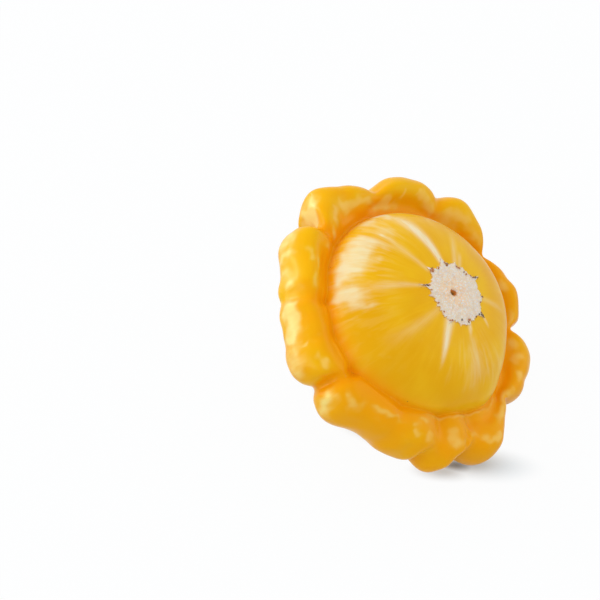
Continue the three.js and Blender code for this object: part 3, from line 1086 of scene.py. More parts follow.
@dataclass
class Fruit:
    """The grown body: shoulder, scalloped collar, crease, dome and blossom scar.

    The first sizes drive the half section. The grains, bands and sides are the low relief of the
    skin and the spread of its painted shade and pale streaks, and the tables after them are the
    carving of this one fruit, with its painted highlights, soft reflections and shade.

    Attributes:
        tight_width: Half width of the tight part of a groove, in degrees.
        soft_width: Half width of its soft part, in degrees.
        scar_off: How far the scar's circle is off the axis, towards scar_side.
        dome_starts: Stations between which the crease gives way to the dome.
        rays_start: Stations between which the rays set in.
        crease_shade_reach: How far the painted shade, in deep orange, reaches below and above the
            crease, each on the plain side and on the dished side.
        unshaded_crease_side: The side where the crease has almost no painted shade.
        groove_rows: Stations between which the painted shade in the grooves of the crest sets in and
            ends.
        dished_at: The middle of the side where the crest is dished.
        dish_shade: The painted shade, in deep orange, of the dish.
        washed: The side of the dome that has faint ridges and pale streaks, the streaks partly a
        painted highlight.
        wash_starts: Distances from the axis between which the streaks set in.
        boxed: The side where the collar's edge is squarer, by the bands of box.
        lump_rows: Stations between which the lumps of the collar set in and end.
        lump_drop: What the lumps' mean is lowered by.
        uneven_angle: How far the edges of the patches waver round the axis, in degrees.
        uneven_row: How far they waver along the section, in stations.
        pit_mark: Half width of the mark pit, and so on for rim, warm and neck.
    """

    lie: Lie
    collar_radius: float = 47.2
    groove_radius: float = 42.5
    crest_radius: float = 40.8
    crest_height: float = 9.6
    crease_radius: float = 32.4
    crease_height: float = 4.0
    dome_radius: float = 32.6
    dome_height: float = 23.6
    shoulder_depth: float = 25.0
    tight_width: float = 2.8
    soft_width: float = 7.5
    scar_radius: float = 9.6
    scar_off: float = 1.2
    scar_side: float = 330.0
    scar_rise: float = 0.3
    scar_ragged: tuple[Grain, ...] = (Grain(0.22, 1.6, 11), Grain(0.12, 0.7, 12))
    cork_grain: tuple[Grain, ...] = (Grain(0.07, 1.3, 21), Grain(0.05, 0.6, 22))
    pit_radius: float = 1.5
    pit_depth: float = 1.2
    ray_rise: float = 0.07
    dome_starts: Pair = (12.6, 14.0)
    rays_start: Pair = (13.4, 14.2)
    # Painted shade in deep orange: how far it reaches at the crease, and the side left almost without
    # it.
    crease_shade_reach: tuple[Pair, Pair] = ((5.6, 3.2), (4.2, 1.8))
    unshaded_crease_side: Side = Side(257.0, 32.0)
    groove_rows: tuple[Pair, Pair] = ((8.0, 9.5), (11.0, 12.2))
    # Painted shade in the grooves of the crest.
    groove_shade: float = 0.75
    # The side of faint ridges and pale streaks, the streaks partly a painted highlight.
    washed: Side = Side(125.0, 42.0)
    wash_starts: Pair = (17.0, 27.0)
    dished_at: float = 355.0
    # Painted shade in the dish.
    dish_shade: Band = Band(11.4, 0.8, 0.35)
    dish: tuple[Band, ...] = (Band(10.0, 0.7, 0.35), Band(11.5, 0.6, -0.9))
    boxed: Side = Side(160.0, 38.0)
    box: tuple[Band, ...] = (Band(7.2, 0.6, 0.5), Band(6.0, 0.8, -0.25))
    scallops: Grain = Grain(0.05, 4.5, 33)
    scallop_band: Band = Band(7.2, 0.6, 1.0)
    lumps: tuple[Grain, ...] = (Grain(0.16, 13.0, 31), Grain(0.05, 5.5, 32))
    lump_drop: float = 0.16
    lump_rows: tuple[Pair, Pair] = ((4.0, 6.5), (11.5, 12.3))
    dome_ribs: tuple[Grain, ...] = (Grain(0.05, 0.55, 41), Grain(0.03, 0.22, 42))
    uneven_angle: Grain = Grain(0.7, 4.0, 51)
    uneven_row: Grain = Grain(0.08, 3.5, 52)
    flutes: int = 10
    flute_start: float = 20.0
    flute_depth: float = 0.35
    pit_mark: float = 1.35
    rim_mark: float = 0.3
    warm_mark: float = 5.0
    neck_mark: float = 9.0
    columns: int = 540
    lobes: tuple[Lobe, ...] = tuple(Lobe(*row) for row in (
        (8, 8, 2, 0.95, 0.2, 1.2, 3), (40, 41, 0.3, 0.9, 0.4, 0.5, 2.5),
        (73, 76, 0.9, 0.6, 0.2, -0.6, 1), (86, 94, 0.1, 0.5, 0.2, 1.5, 0),
        (111, 115, 1.5, 1, 0.9, 0.6, 0), (130, 131, 0.05, 0.3, 0.3, -1.4, 0),
        (147, 151, 0.2, 0.7, 0.8, -0.9, 0), (166, 168, 0.05, 0.35, 0.3, 0.4, 0),
        (184, 187, 0.6, 0.9, 0.8, 0, -1.3), (204, 204, 0.05, 0.1, 0.1, -2.8, -1),
        (218, 218, 0.15, 0.45, 0.3, -1.4, -1), (236, 242, 1.1, 0.75, 0.4, 2.4, -1),
        (254, 262, 1.8, 0.75, 0.2, 3.4, 0), (277, 277, 0.05, 0.15, 0.1, -1.1, -1),
        (292, 291, 1.7, 0.7, 0.3, -0.5, -1), (309, 308, 0.05, 0.3, 0.2, 0.6, -1),
        (330, 330, 2.2, 0.9, 0.6, -0.9, -1), (353, 353, 0.1, 0.3, 0.2, -0.6, 0),
    ))
    scar_points: tuple[Point, ...] = tuple(Point(*row) for row in (
        (2, 4, 3), (27, 0.6, 6), (45, 0.8, 6), (73, 2.2, 5), (109, 2.6, 5), (144, 4.8, 3),
        (162, 1.6, 4), (184, 0.4, 5), (206, 0.6, 5), (222, 1.3, 6), (246, 0.5, 6), (267, 1, 5),
        (301, 2.4, 4), (331, 1.2, 5), (349, 0.8, 4),
    ))
    dome_bulges: tuple[Bulge, ...] = tuple(Bulge(*row) for row in (
        (165, 60, 2.6, 0), (181, 24, 2.4, 0), (277, 14, 2, 0), (314, 20, -2, 0),
    ))
    crease_fills: tuple[Bulge, ...] = tuple(Bulge(*row) for row in (
        (170, 46, 0, 2.9), (207, 18, 0, 1.2), (252, 34, 0, 4),
    ))
    swells: tuple[Swell, ...] = tuple(Swell(*row) for row in (
        # Corners and flats of the lobes.
        (89, 9, 5, 0.8, 0.6), (95, 8.8, 5, 0.9, 0.8), (99, 7.9, 4, 0.9, 1.6), (110, 7.3, 6, 1.5, -1.9),
        (20, 9.4, 5, 0.8, -0.6), (344, 9.8, 5, 0.7, 0.7), (273, 9.2, 6, 0.8, 0.9),
        (231, 6.9, 5, 0.8, 0.7), (241, 7.1, 5, 1, 1.1), (233, 7.7, 3.2, 0.9, 1.1),
        (247.5, 8, 2.5, 0.8, 0.8), (311, 9.4, 8, 0.8, 0.8), (123, 7.2, 5, 0.8, 0.4),
        (146.5, 8.6, 2.5, 1.2, -0.5), (152.5, 8.4, 3, 1.2, 0.6), (189, 7.6, 3, 0.7, 0.4),
        (172, 6.8, 8, 1, 1.7), (195, 6.5, 7, 1, 0.9), (219, 6.8, 6, 1, 0.3), (245, 7.4, 4, 0.8, 0.5),
        (302, 8.8, 6, 0.8, 0.4), (349, 9.3, 5, 0.7, 1.1), (31, 9, 6, 0.8, 1), (49, 9.2, 5, 0.7, 0.3),
        (72, 9, 5, 0.7, -0.7),
        # Low crest bumps with painted soft reflections in tan, and dips painted deeper as shade.
        (103.5, 10.3, 2.4, 0.5, 0.05, 0.7), (107.5, 10.9, 2.6, 0.5, 0.05, 0.8),
        (112, 11.6, 2.2, 0.5, 0.05, 0.8), (97.5, 10.3, 3.6, 0.55, 0.05, 0.9),
        (96, 11.1, 3.2, 0.4, 0.05, 0.5), (90, 10.5, 4.5, 0.45, 0.05, 0.8),
        (83, 10.8, 4.5, 0.45, 0.05, 0.8), (79, 9.4, 1.8, 0.5, 0.05, 0.9),
        (75, 11.5, 4, 0.45, 0.05, 0.8), (67, 11.7, 5, 0.4, 0.05, 0.8), (70, 11, 3, 0.5, 0.1, 0.7),
        (62.3, 10.65, 1.6, 0.5, 0.05, 0.8), (52.5, 10.3, 2.4, 0.5, 0.05, 0.7),
        (48.5, 10.6, 2.6, 0.5, 0.05, 0.8), (44, 10.8, 2.8, 0.5, 0.05, 0.9),
        (34, 10.6, 5, 0.45, 0.1, 0.7), (27, 10.5, 5, 0.6, 0.1, 0.7), (35, 11.4, 9, 0.5, 0.05, 0.45),
        (17, 10.5, 4, 0.6, 0.1, 0.6), (22, 11.4, 3, 0.3, -0.2, -0.6), (120.5, 11.7, 3, 0.5, 0.05, 0.6),
        (130.5, 9.6, 2.6, 0.35, 0.05, 0.7), (135, 10.5, 4.5, 0.4, 0.05, 0.7),
        (143, 10.2, 3, 0.35, 0.05, 0.6), (174, 8.9, 2.2, 0.3, 0.05, 0.6),
        (178.5, 9.2, 2.2, 0.45, 0.1, 0.8), (184.6, 8.3, 1.6, 1.2, -1, -2.4),
        (192, 9.4, 1.8, 0.3, 0.05, 0.6), (197, 9.1, 3.2, 0.45, 0.1, 0.8), (207, 9.9, 5, 0.42, 0.1, 0.6),
        (214, 10, 5, 0.42, 0.1, 0.7), (226, 10.6, 2.2, 0.4, 0.05, 0.6), (228, 9.7, 2.2, 0.4, 0.05, 0.7),
        (234, 10.1, 2.4, 0.6, 0.1, 0.8), (231, 11.5, 3, 0.35, 0.05, 0.7),
        (240, 12.4, 8, 0.25, 0.1, 0.7), (256, 12.4, 9, 0.22, 0.15, 0.8),
        (269, 12.4, 6, 0.22, 0.15, 0.7), (281, 12.1, 6, 0.25, 0.15, 0.6),
        (249.5, 10.2, 4, 0.55, 0.1, 0.9), (247, 11.1, 3, 0.5, 0.05, 0.6),
        (260, 10.45, 2.5, 0.4, 0.1, 0.6), (265.5, 9.9, 3, 0.35, 0.15, 0.9),
        (270, 9.5, 3, 0.3, 0.1, 0.9), (259.5, 11.3, 1.2, 0.45, -0.5, -0.5),
        (256.6, 10.6, 1.2, 0.45, -0.7, -0.6), (254.6, 9.9, 1.2, 0.5, -0.7, -0.6),
        (273, 11.2, 5, 0.5, -0.4, -0.9), (281, 10.3, 5, 0.5, 0.1, 0.9), (290, 10.6, 4, 0.5, 0.1, 0.7),
        (295, 10, 2.2, 0.5, 0.05, 0.8), (303, 11.2, 5, 0.5, -0.3, -0.8), (305, 9.9, 3, 0.4, 0.05, 0.8),
        (313.5, 10.5, 3, 0.5, 0.1, 0.7), (321, 10.9, 3, 0.5, 0.1, 0.7), (335, 10.6, 4, 0.5, 0.1, 0.6),
        (350, 10.5, 4, 0.5, 0.1, 0.8),
    ))
    # Painted highlights along the left edges of the lobes.
    painted_glints: tuple[Swell, ...] = tuple(Swell(*row) for row in (
        (109, 7.3, 3.5, 0.8, 0, 0.9), (104, 8.2, 3.2, 0.5, 0, 0.6), (107.5, 8.2, 2.6, 0.55, 0, 0.8),
        (110.5, 8.2, 2, 0.5, 0, 0.8), (122, 7.9, 4, 0.55, 0, 0.9), (126, 7.4, 3, 0.5, 0, 0.7),
        (130.3, 7.7, 1.7, 0.55, 0, 1.4), (136, 7.5, 3, 0.5, 0, 0.8), (142, 7.8, 2.2, 0.5, 0, 1),
        (152, 7.9, 3.2, 0.55, 0, 1.4), (158, 7.9, 4, 0.55, 0, 1.4), (163.5, 7.6, 2.4, 0.4, 0, 1.2),
        (168, 8.3, 1.2, 0.35, 0, 0.9), (174, 7.1, 8, 0.5, 0, 0.6), (190, 7.9, 2.6, 0.6, 0, 1.2),
        (193, 7.2, 3, 0.4, 0, 0.7), (172, 7.6, 7, 0.5, 0, 0.5),
    ))
    # Painted highlights and pale reflections on the dome, some with a slight rise.
    painted_dome_highlights: tuple[Swell, ...] = tuple(Swell(*row) for row in (
        (114.5, 15.3, 4, 1, 0.05, 1), (125, 15.2, 7, 0.8, 0.08, 1.4), (136, 15, 5, 0.8, 0.08, 1.3),
        (142, 14.35, 4.5, 0.5, 0, 0.9), (151.5, 14.7, 4.5, 0.75, 0.08, 1.2),
        (160, 15.3, 4, 0.8, 0.05, 0.6), (105, 15.9, 1, 0.15, 0, 1.2), (92, 14.6, 7, 0.3, 0, 0.7),
        (99, 14.9, 4, 0.9, 0.05, 0.6), (84.5, 14.8, 3.5, 0.7, 0.05, 1.2), (101, 15.9, 9, 0.6, 0, 0.5),
        (52, 15.2, 7, 0.6, 0, 0.7), (151, 15.4, 9, 0.5, 0, 0.4), (262, 16.4, 30, 1, 0, 0.4),
        (300, 15.2, 20, 1, 0, 0.3),
    ))
    rays: tuple[Ray, ...] = tuple(Ray(*row) for row in (
        ((74, 84), (10.5, 31.5), (0.9, 2.6), 1.3), ((145, 150), (12, 31.5), (0.5, 1.8), 0.35),
        ((221.5, 226), (9.5, 24), (1.4, 0.5), 1.1), ((268, 261), (9.8, 14.5), (0.8, 0.6), 0.7),
        ((303, 296), (12, 16.5), (0.5, 0.5), 0.5), ((44, 42), (10, 24), (0.8, 1.2), 0.35),
        ((33, 36), (10, 17), (0.7, 0.8), 0.35), ((262, 258), (15, 30), (1.2, 2.4), 0.22),
        ((192, 185), (9, 30), (1, 2), 0.2), ((112, 106), (11, 29), (0.7, 1.6), 0.3),
        ((330, 326), (11, 24), (0.8, 1.2), 0.25),
    ))

    def stations(self) -> list[Station]:
        """The half section from the stem to the scar, worked out from the driving sizes.

        Returns:
            The stations in order.
        """
        depth = self.shoulder_depth
        crest = self.crest_height
        crease = self.crease_height
        return [
            Station((0, -depth), (0, -depth), 0, 0),
            Station((5, -depth - 0.2), (5, -depth - 0.2), 0, 0),
            Station((12, -depth), (12, -depth + 0.3), 0, 0),
            Station((20.5, -22.6), (20.2, -21.9), 0.05, 0),
            Station((29, -17.8), (28.4, -16.8), 0.2, 0),
            Station((36, -13), (34.6, -11.8), 0.45, 0),
            Station((42, -9.5), (39, -8), 0.75, 0),
            Station((self.collar_radius - 1, -5), (self.groove_radius - 1, -3.5), 1, 0),
            Station((self.collar_radius, 2), (self.groove_radius, 1.5), 1, 0.2),
            Station(
                (self.collar_radius - 2.4, crest - 1.6), (self.groove_radius - 1.5, 5.5),
                0.9, 0.6, 0.15, -0.3,
            ),
            Station((self.crest_radius, crest), (self.crest_radius - 2.4, 7), 0.75, 1, 0.4, -0.4),
            Station((37.6, crest - 1.5), (36.2, 6), 0.35, 1, 0.6, 0.1),
            flat_station(self.crease_radius + 2.2, crease + 1.5, 0.8, 0.9),
            flat_station(self.crease_radius - 0.4, crease + 0.3, 1.0, 1.0),
            flat_station(self.dome_radius - 0.2, crease + 4.2, 0.9, 0.2),
            flat_station(self.dome_radius - 1.7, crease + 8.8, 0.6),
            flat_station(26, self.dome_height - 5.4, 0.3),
            flat_station(18, self.dome_height - 2, 0.1),
            flat_station(9, self.dome_height - 0.3, 0.0),
            flat_station(0, self.dome_height, 0.0),
        ]

    def rows(self) -> np.ndarray:
        """Places of the rings along the section: finer on the collar and finest on the scar.

        Returns:
            The places, counted in stations.
        """
        spans = ((0, 6, 24), (6, 13, 70), (13, 17, 24), (17, 18, 34), (18, 19, 28))
        steps = [np.linspace(start, end, count, endpoint=False) for start, end, count in spans]
        return np.concatenate(steps)[1:]

    def degrees(self) -> np.ndarray:
        """The angles of the columns."""
        return np.arange(self.columns) * 360.0 / self.columns

    def fullness(self, degrees: np.ndarray, crest: float) -> np.ndarray:
        """How far the skin stands out of the groove section: 1 on a crown, 0 in a plain groove.

        Each groove takes away a notch: a narrow and a wide bell curve mixed by its tightness,
        times its depth.

        Args:
            degrees: Angles round the axis.
            crest: 0 for the grooves of the outer edge, 1 for those of the crest.

        Returns:
            The fullness at each angle.
        """
        full = np.ones_like(degrees)
        for lobe in self.lobes:
            away = turn(mix(lobe.edge_at, lobe.crest_at, crest), degrees)
            notch = mix(bell(away, self.soft_width), bell(away, self.tight_width), lobe.tight)
            full -= mix(lobe.edge_cut, lobe.crest_cut, crest) * notch
        return full

    def lobe_value(self, degrees: np.ndarray, name: str) -> np.ndarray:
        """A lobe's own value, run by an S-curve from the middle of each lobe to the next.

        Args:
            degrees: Angles round the axis.
            name: Which of the lobe's fields: reach or lift.

        Returns:
            The value at each angle.
        """
        starts = np.array([lobe.edge_at for lobe in self.lobes])
        values = np.array([getattr(lobe, name) for lobe in self.lobes])
        middles = (starts + np.append(starts[1:], starts[0] + 360.0)) / 2.0
        middles = np.append(middles, middles[0] + 360.0)
        values = np.append(values, values[0])
        wrapped = (degrees - middles[0]) % 360.0 + middles[0]
        before = np.clip(np.searchsorted(middles, wrapped, side="right") - 1, 0, len(starts) - 1)
        share = smooth(wrapped, middles[before], middles[before + 1])
        return mix(values[before], values[before + 1], share)

    def section(self, degrees: np.ndarray, along: np.ndarray) -> np.ndarray:
        """The smooth skin in half section.

        At each angle the stations are mixed between crown and groove by the fullness, moved by
        the lobe's reach and lift, and joined by a B-spline.

        Args:
            degrees: Angles round the axis.
            along: Places along the section, counted in stations.

        Returns:
            An array of place by angle by (radius, height).
        """
        own = np.stack([self.lobe_value(degrees, "reach"), self.lobe_value(degrees, "lift")], axis=-1)
        bulges = sum(bulge.shift(degrees) for bulge in self.dome_bulges)
        fills = sum(bulge.shift(degrees) for bulge in self.crease_fills)
        control = []
        for station in self.stations():
            full = self.fullness(degrees, station.crest)[:, None]
            plain = mix(np.array(station.groove, float), np.array(station.crown, float), full)
            own_fill = station.fill * np.clip(full, 0.2, 1.0)
            control.append(plain + station.reach * own + station.side * bulges + own_fill * fills)
        return spline(np.stack(control), along)

    def scar_edge(self, degrees: np.ndarray) -> np.ndarray:
        """The scar's ragged edge: an off-centre circle, its points, and a fine raggedness.

        Args:
            degrees: Angles round the axis.

        Returns:
            The edge's distance from the axis at each angle.
        """
        edge = self.scar_radius + self.scar_off * np.cos(np.radians(degrees - self.scar_side))
        for point in self.scar_points:
            edge = edge + point.length * np.exp(-np.abs(turn(point.at, degrees)) / point.width)
        circle = on_polar(degrees, np.full_like(degrees, self.scar_radius), np.zeros_like(degrees))
        return edge + layered(self.scar_ragged, circle)

    def dished(self, grid: SkinGrid) -> np.ndarray:
        """How much of the dished side each place has: an S-curve of the cosine from its middle."""
        return smooth(np.cos(np.radians(grid.angle - self.dished_at)), -0.2, 0.5)

    def crease(self, grid: SkinGrid) -> np.ndarray:
        """How much painted shade the crease lays on each place, from 0 to 1.

        It is a bell curve over the distance from the crease. Its reach differs below and above
        the crease, and each runs from a plain to a dished reach.

        Args:
            grid: Where the skin's points are.

        Returns:
            The share of painted shade at each point.
        """
        along = grid.row[:, 0]
        crease_length = [np.interp(CREASE_STATION, along, column) for column in grid.length.T]
        above = grid.length - np.array(crease_length)
        dished = self.dished(grid)
        low, high = (mix(*reach, dished) for reach in self.crease_shade_reach)
        depth = bell(above, np.where(above > 0.0, high, low))
        return depth * (1.0 - 0.95 * self.unshaded_crease_side.share(grid.angle))

    def tones(self, grid: SkinGrid) -> tuple[np.ndarray, np.ndarray]:
        """The tones of the swells, and those of the painted highlights on the lobes and the dome.

        Each is the sum of every patch's tone times its share, read at places that waver at random.

        Args:
            grid: Where the skin's points are.

        Returns:
            The two sums at each point.
        """
        angle = grid.angle + self.uneven_angle.at(grid.points)
        row = grid.row + self.uneven_row.at(grid.points)
        swells, pale = (
            sum(patch.tone * patch.share(angle, row) for patch in patches)
            for patches in (self.swells, self.painted_glints + self.painted_dome_highlights)
        )
        return swells, pale

    def marks(self, grid: SkinGrid) -> dict[str, np.ndarray]:
        """The values that the skin carries for its finish.

        Each is a product of S-curves and bell curves over the row, the distance from the axis or
        the angle, and a sum of such products where it has several places.

        Args:
            grid: Where the skin's points are.

        Returns:
            Named values, row by column.
        """
        degrees, angle, row, radius = grid.angle[0], grid.angle, grid.row, grid.radius
        on_dome = smooth(row, *self.dome_starts)
        off_edge = radius - self.scar_edge(degrees)
        near_scar = smooth(row, SCAR_STATION - 1.0, SCAR_STATION - 0.5)
        ray = sum(ray.share(angle, radius) for ray in self.rays) * smooth(row, *self.rays_start)
        groove = np.clip(1.0 - self.fullness(degrees, 1.0), 0.0, 1.0)
        groove = self.groove_shade * groove * plateau(row, *self.groove_rows)
        dished = self.dished(grid)
        tones, pale = self.tones(grid)
        # hollow is painted shade in deeper orange: the crease, the grooves, the dish and the dips, less
        # under the painted soft reflections.
        hollow = self.crease(grid) + groove + dished * self.dish_shade.at(row) - tones
        circle = np.radians(angle)
        return {
            "dome": on_dome,
            "cork": (1.0 - smooth(off_edge, -0.2, 0.15)) * near_scar,
            "ray": np.clip(ray, 0.0, 1.0),
            "hollow": np.clip(hollow, 0.0, 1.0),
            # Painted soft reflections on the crest.
            "pale": np.clip(tones, 0.0, 1.0),
            # Painted highlights and reflections on the lobes and the dome.
            "patch": np.clip(pale, 0.0, 1.0),
            "dish": dished,
            "wash": self.washed.share(angle) * smooth(radius, *self.wash_starts) * on_dome,
            "pit": bell(radius, self.pit_mark) * near_scar,
            "rim": bell(off_edge, self.rim_mark) * near_scar,
            "warm": bell(radius, self.warm_mark) * near_scar,
            "neck": bell(radius, self.neck_mark) * (1.0 - smooth(row, 2.5, 4.0)),
            "around": np.stack([np.cos(circle), np.sin(circle), grid.length], axis=-1),
        }

    def scar_relief(self, grid: SkinGrid, cork: np.ndarray) -> np.ndarray:
        """The cork's rise and grain, less the pit: a paraboloid in the middle of the scar.

        Args:
            grid: Where the skin's points are.
            cork: The skin's mark cork.

        Returns:
            The offset at each point, outward, in millimetres.
        """
        pit = np.maximum(0.0, 1.0 - (grid.radius / self.pit_radius) ** 2)
        pit = self.pit_depth * pit * (grid.row > SCAR_STATION)
        return cork * (self.scar_rise + layered(self.cork_grain, grid.points)) - pit

    def collar_relief(self, grid: SkinGrid, dish: np.ndarray) -> np.ndarray:
        """The dished crest, the boxed edge, the fine scallops and the lumps of the collar.

        The sum of four products, each of bands or grains and the share of the collar they cover.

        Args:
            grid: Where the skin's points are.
            dish: The skin's mark dish.

        Returns:
            The offset at each point, outward, in millimetres.
        """
        angle, row = grid.angle, grid.row
        offset = dish * layered(self.dish, row)
        offset = offset + self.boxed.share(angle) * layered(self.box, row)
        scallops = self.scallops.at(on_polar(angle, np.full_like(angle, 40.0), 2.0 * row))
        offset = offset + scallops * self.scallop_band.at(row)
        lumps = layered(self.lumps, grid.points) - self.lump_drop
        return offset + lumps * plateau(row, *self.lump_rows)

    def dome_relief(self, grid: SkinGrid, dome: np.ndarray) -> np.ndarray:
        """Faint ribs that run down the dome, and fade towards the scar.

        Args:
            grid: Where the skin's points are.
            dome: The skin's mark dome.

        Returns:
            The offset at each point, outward, in millimetres.
        """
        angle = grid.angle
        direction = on_polar(angle, np.ones_like(angle), np.zeros_like(angle))
        return layered(self.dome_ribs, direction) * dome * smooth(grid.radius, 9.0, 18.0)

    def shoulder_relief(self, grid: SkinGrid) -> np.ndarray:
        """The flutes round the stem: cosine waves that die away from it.

        Args:
            grid: Where the skin's points are.

        Returns:
            The offset at each point, outward, in millimetres.
        """
        waves = 0.5 - 0.5 * np.cos(np.radians(self.flutes * (grid.angle - self.flute_start)))
        near_stem = bell(grid.radius - 10.0, 6.5) * (1.0 - smooth(grid.row, 3.0, 5.0))
        return -self.flute_depth * waves * near_stem

    def relief(self, grid: SkinGrid, marks: dict[str, np.ndarray]) -> np.ndarray:
        """How far the finished skin stands off the smooth section, in millimetres.

        The sum of the relief of the scar, the collar, the dome and the shoulder, the slight rise
        of the rays, and the swells and patches.

        Args:
            grid: Where the points of the smooth skin are.
            marks: The skin's marks.

        Returns:
            The offset at each point, outward.
        """
        offset = self.scar_relief(grid, marks["cork"]) + self.ray_rise * marks["ray"]
        offset = offset + self.collar_relief(grid, marks["dish"])
        for swell in self.swells + self.painted_glints + self.painted_dome_highlights:
            offset = offset + swell.rise * swell.share(grid.angle, grid.row)
        return offset + self.dome_relief(grid, marks["dome"]) + self.shoulder_relief(grid)

    def shell(self) -> Shell:
        """The finished skin as a closed surface.

        It is the smooth section, moved out along its normals by the relief. The smooth skin also
        settles how the squash lies.

        Returns:
            The surface, with the skin's marks.
        """
        degrees, along = self.degrees(), self.rows()
        grid = SkinGrid.from_section(degrees, along, self.section(degrees, along))
        self.lie.settle(grid.points, *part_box("fruit"))
        marks = self.marks(grid)
        rings = grid.points + grid_normals(grid.points) * self.relief(grid, marks)[..., None]
        ends = self.section(degrees[:1], np.array([0.0, len(self.stations()) - 1.0]))[:, 0]
        start = np.array([0.0, 0.0, ends[0, 1]])
        end = np.array([0.0, 0.0, ends[1, 1] + self.scar_rise - self.pit_depth])
        placed = self.lie.placed
        return Shell(placed(rings), placed(start), placed(end), marks)

    def scar_place(self, degrees: float, radius: float) -> np.ndarray:
        """A point on the scar's plain surface, in the squash's own frame.

        Args:
            degrees: Its angle.
            radius: Its distance from the axis.

        Returns:
            The point.
        """
        along = np.linspace(SCAR_STATION - 1.0, len(self.stations()) - 1.0, 80)
        section = self.section(np.array([degrees], float), along)[:, 0]
        height = np.interp(-radius, -section[:, 0], section[:, 1])
        return on_polar(np.array(degrees), np.array(radius), np.array(height))

    def build(self) -> bpy.types.Object:
        """Makes the fruit's piece, in place of its node.

        Returns:
            The piece.
        """
        piece = make_piece("squash_skin", [self.shell()])
        piece.data.materials.append(SkinFinish().material())
        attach(piece, "root")
        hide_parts("fruit")
        return piece


# ---- Dried blossom --------------------------------------------------------------------------


class Tone(Enum):
    """How dark a fleck has dried."""

    BROWN = 0.0
    MIXED = 0.5
    DARK = 1.0


BROWN, MIXED, DARK = Tone


@dataclass(frozen=True)
class Fleck:
    """A crumb of dried blossom on the scar.

    Attributes:
        at: Its angle.
        radius: Its distance from the axis.
        length: Its half length along the radius.
        width: Its half width across the radius.
        tone: How dark it has dried.
    """

    at: float
    radius: float
    length: float
    width: float
    tone: Tone


@dataclass
class Blossom:
    """The crumbs of the dried blossom that still cling to the scar's points."""

    fruit: Fruit
    thickness: float = 0.22
    clearance: float = 0.1
    unevenness: float = 0.28
    rows: int = 9
    columns: int = 14
    flecks: tuple[Fleck, ...] = tuple(Fleck(*row) for row in (
        (66, 9, 0.7, 0.35, MIXED), (69, 9.8, 0.3, 0.25, BROWN), (63, 9.4, 0.25, 0.3, DARK),
        (107, 9.3, 0.45, 0.6, BROWN), (111, 9.8, 0.3, 0.25, BROWN), (104, 9.9, 0.2, 0.25, MIXED),
        (91, 8.6, 0.3, 0.3, BROWN), (144.5, 11, 0.55, 0.16, MIXED), (143.5, 10, 0.45, 0.22, DARK),
        (142.5, 9.3, 0.3, 0.25, BROWN), (152, 8.7, 0.3, 0.25, BROWN), (40, 9.5, 0.25, 0.55, BROWN),
        (34.5, 9.5, 0.22, 0.45, BROWN), (23, 9.5, 0.3, 0.2, MIXED), (17, 9.4, 0.35, 0.25, BROWN),
        (9, 10.6, 0.25, 0.3, BROWN), (2.5, 12.4, 0.75, 0.32, DARK), (4.5, 11.4, 0.4, 0.2, MIXED),
        (0.5, 13.3, 0.3, 0.18, MIXED), (332, 11.7, 0.5, 0.25, MIXED), (321, 10.6, 0.25, 0.2, BROWN),
        (301, 12, 0.9, 0.3, DARK), (303.5, 11.2, 0.35, 0.2, MIXED), (298, 10.8, 0.35, 0.22, DARK),
        (289, 10.3, 0.25, 0.2, MIXED), (269, 9.4, 0.4, 0.4, BROWN), (265.5, 9.9, 0.25, 0.2, MIXED),
        (250, 8.8, 0.25, 0.2, DARK), (226, 9.5, 0.3, 0.3, BROWN), (221, 9.9, 0.2, 0.3, BROWN),
        (203, 8.6, 0.2, 0.25, BROWN), (182, 8, 0.25, 0.2, BROWN),
    ))

    def crumb(self, fleck: Fleck, seed: int) -> Shell:
        """One crumb: an ellipsoid on the scar whose surface is made uneven by a random field.

        Args:
            fleck: Its place and size.
            seed: Seed of its unevenness.

        Returns:
            Its closed surface.
        """
        outward = np.array([math.cos(math.radians(fleck.at)), math.sin(math.radians(fleck.at)), 0.0])
        across = np.array([-outward[1], outward[0], 0.0])
        middle = self.fruit.scar_place(fleck.at, fleck.radius)
        ahead = self.fruit.scar_place(fleck.at, fleck.radius + 1.0) - middle
        ahead /= np.linalg.norm(ahead)
        up = np.cross(ahead, across)
        tilt = np.radians(np.linspace(-90.0, 90.0, self.rows + 2)[1:-1, None])
        circle = np.arange(self.columns)[None] * 360.0 / self.columns
        ball = on_polar(circle, np.cos(tilt), np.sin(tilt))
        uneven = 1.0 + Grain(self.unevenness, 1.5, seed).at(ball)[..., None]
        axes = np.stack([ahead * fleck.length, across * fleck.width, up * self.thickness])
        foot = middle + up * (self.fruit.scar_rise + self.clearance)
        placed = self.fruit.lie.placed
        rings = placed(foot + (ball * uneven) @ axes)
        marks = {"tone": np.full(rings.shape[:2], fleck.tone.value)}
        return Shell(rings, placed(foot - axes[2]), placed(foot + axes[2]), marks)

    def build(self) -> bpy.types.Object:
        """Makes the crumbs as one piece of small closed shells.

        Returns:
            The piece.
        """
        shells = [self.crumb(fleck, seed) for seed, fleck in enumerate(self.flecks, start=60)]
        piece = make_piece("blossom_flecks", shells)
        piece.data.materials.append(FleckFinish().material())
        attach(piece, "root")
        return piece


# ---- Stem -----------------------------------------------------------------------------------


